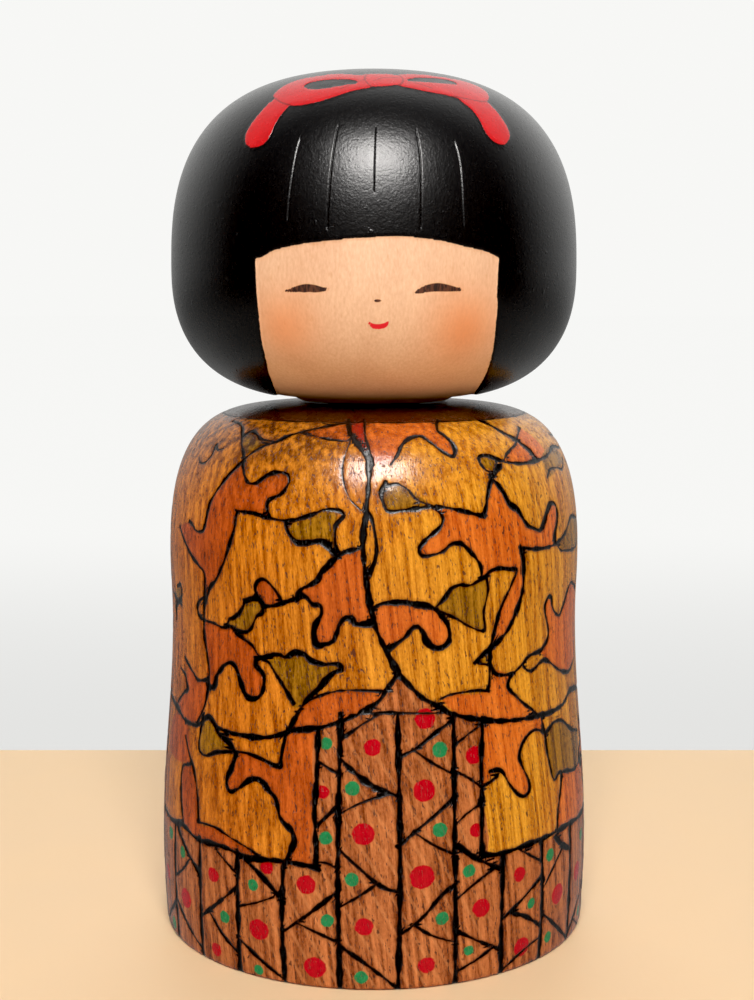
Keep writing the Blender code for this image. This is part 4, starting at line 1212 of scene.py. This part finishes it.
def flat_stage(name, low, high, material):
    """A stage rectangle on the ground between two corners; it isn't mirrored in the doll."""
    mesh = bpy.data.meshes.new(name)
    corners = [(low[0], low[1]), (high[0], low[1]), (high[0], high[1]), (low[0], high[1])]
    mesh.from_pydata([(x, y, 0.0) for x, y in corners], [], [(0, 1, 2, 3)])
    mesh.materials.append(material)
    obj = in_scene(name, mesh)
    obj.visible_glossy = False


def plain_table():
    looks = Looks("table_top")
    base = looks.over(colour(238, 206, 164), colour(200, 190, 180), looks.noise(40.0), 0.3, 0.7, 0.04)
    return looks.finish(base, 0.6, looks.centred(looks.noise(900.0), 0.02))


def white_distance():
    """The floor beyond the table: lit by itself, so that it runs into the backdrop with no horizon."""
    looks = Looks("white_distance")
    strength = looks.fade(looks.axes()[1], TABLE_BACK - 0.02, 0.50, 0.16)
    looks.put(looks.shader.inputs["Emission Color"], colour(*STUDIO_WHITE))
    looks.put(looks.shader.inputs["Emission Strength"], looks.add(strength, 0.81))
    return looks.finish(colour(0, 0, 0), 1.0, looks.noise(50.0), 0.0)


def area_light(name, place, size, power, tint):
    """A soft rectangular light, placed by (azimuth, elevation): 0 is the front, positive towards +X."""
    light = bpy.data.lights.new(name, "AREA")
    light.shape = "RECTANGLE"
    light.size, light.size_y = size
    light.energy = power
    light.color = tint
    turn, rise = (math.radians(angle) for angle in place)
    flat = math.cos(rise)
    direction = Vector((math.sin(turn) * flat, -math.cos(turn) * flat, math.sin(rise)))
    obj = in_scene(name, light)
    obj.location = LIGHTS_AIM + direction * LIGHTS_AWAY
    obj.rotation_euler = direction.to_track_quat("Z", "Y").to_euler()
    return obj


def surroundings():
    """A room that is white behind the doll and dim in front of it, with a plain pale backdrop."""
    world = bpy.data.worlds.new("room")
    world.use_nodes = True
    bpy.context.scene.world = world
    room = Graph(world.node_tree, "Generated")
    x, y, z = room.axes()
    rays = room.node("ShaderNodeLightPath").outputs
    lighting = room.ramp(y, -0.15, 0.75, 0.19, 0.30)
    mirrored = room.ramp(y, -0.15, 0.60, 0.02, 1.12)
    mirrored = room.times(mirrored, room.ramp(z, -0.30, 0.45, 0.12, 1.0))
    mirrored = room.times(mirrored, room.ramp(x, -0.7, 0.7, 0.92, 1.20))
    mirrored = room.add(mirrored, room.ramp(z, -0.40, -0.05, 0.26, 0.0))
    backdrop = room.ramp(z, -0.29, -0.14, 0.97, 0.975)
    strength = room.choose(rays["Is Glossy Ray"], lighting, mirrored)
    strength = room.choose(rays["Is Camera Ray"], strength, backdrop)
    background = room.tree.nodes["Background"]
    room.put(background.inputs["Strength"], strength)
    room.put(background.inputs["Color"], colour(*STUDIO_WHITE))


def lights():
    """The key lights the doll, the sheen only shows in its gloss, and the last lights the table behind."""
    area_light("key", FRONT_LIGHT, (0.66, 0.52), 24.4, (1.0, 0.97, 0.93))
    sheen = area_light("sheen", FRONT_LIGHT, (0.70, 0.54), 46.0, (1.0, 0.98, 0.97))
    sheen.visible_diffuse = False
    behind = area_light("behind", BACK_LIGHT, (1.4, 0.4), 15.0, (1.0, 0.99, 0.98))
    behind.visible_camera = False
    behind.visible_glossy = False


def studio():
    add_camera()
    flat_stage("far_floor", (-8.0, TABLE_BACK), (8.0, 12.0), white_distance())
    flat_stage("table", (-1.5, -1.5), (1.5, TABLE_BACK), plain_table())
    lights()
    surroundings()
    shown = bpy.context.scene.view_settings
    shown.view_transform = "Standard"
    shown.use_curve_mapping = True
    shown.curve_mapping.black_level = (BLACK_LEVEL, BLACK_LEVEL, BLACK_LEVEL)
    shown.curve_mapping.update()


def main():
    body = build_body(body_wood())
    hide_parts("body")
    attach(body, "torso")

    head = build_head(head_paint())
    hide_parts("head")
    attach(head, "head")

    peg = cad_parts["neck_peg"]
    peg.data.materials[0] = beech()

    studio()


main()
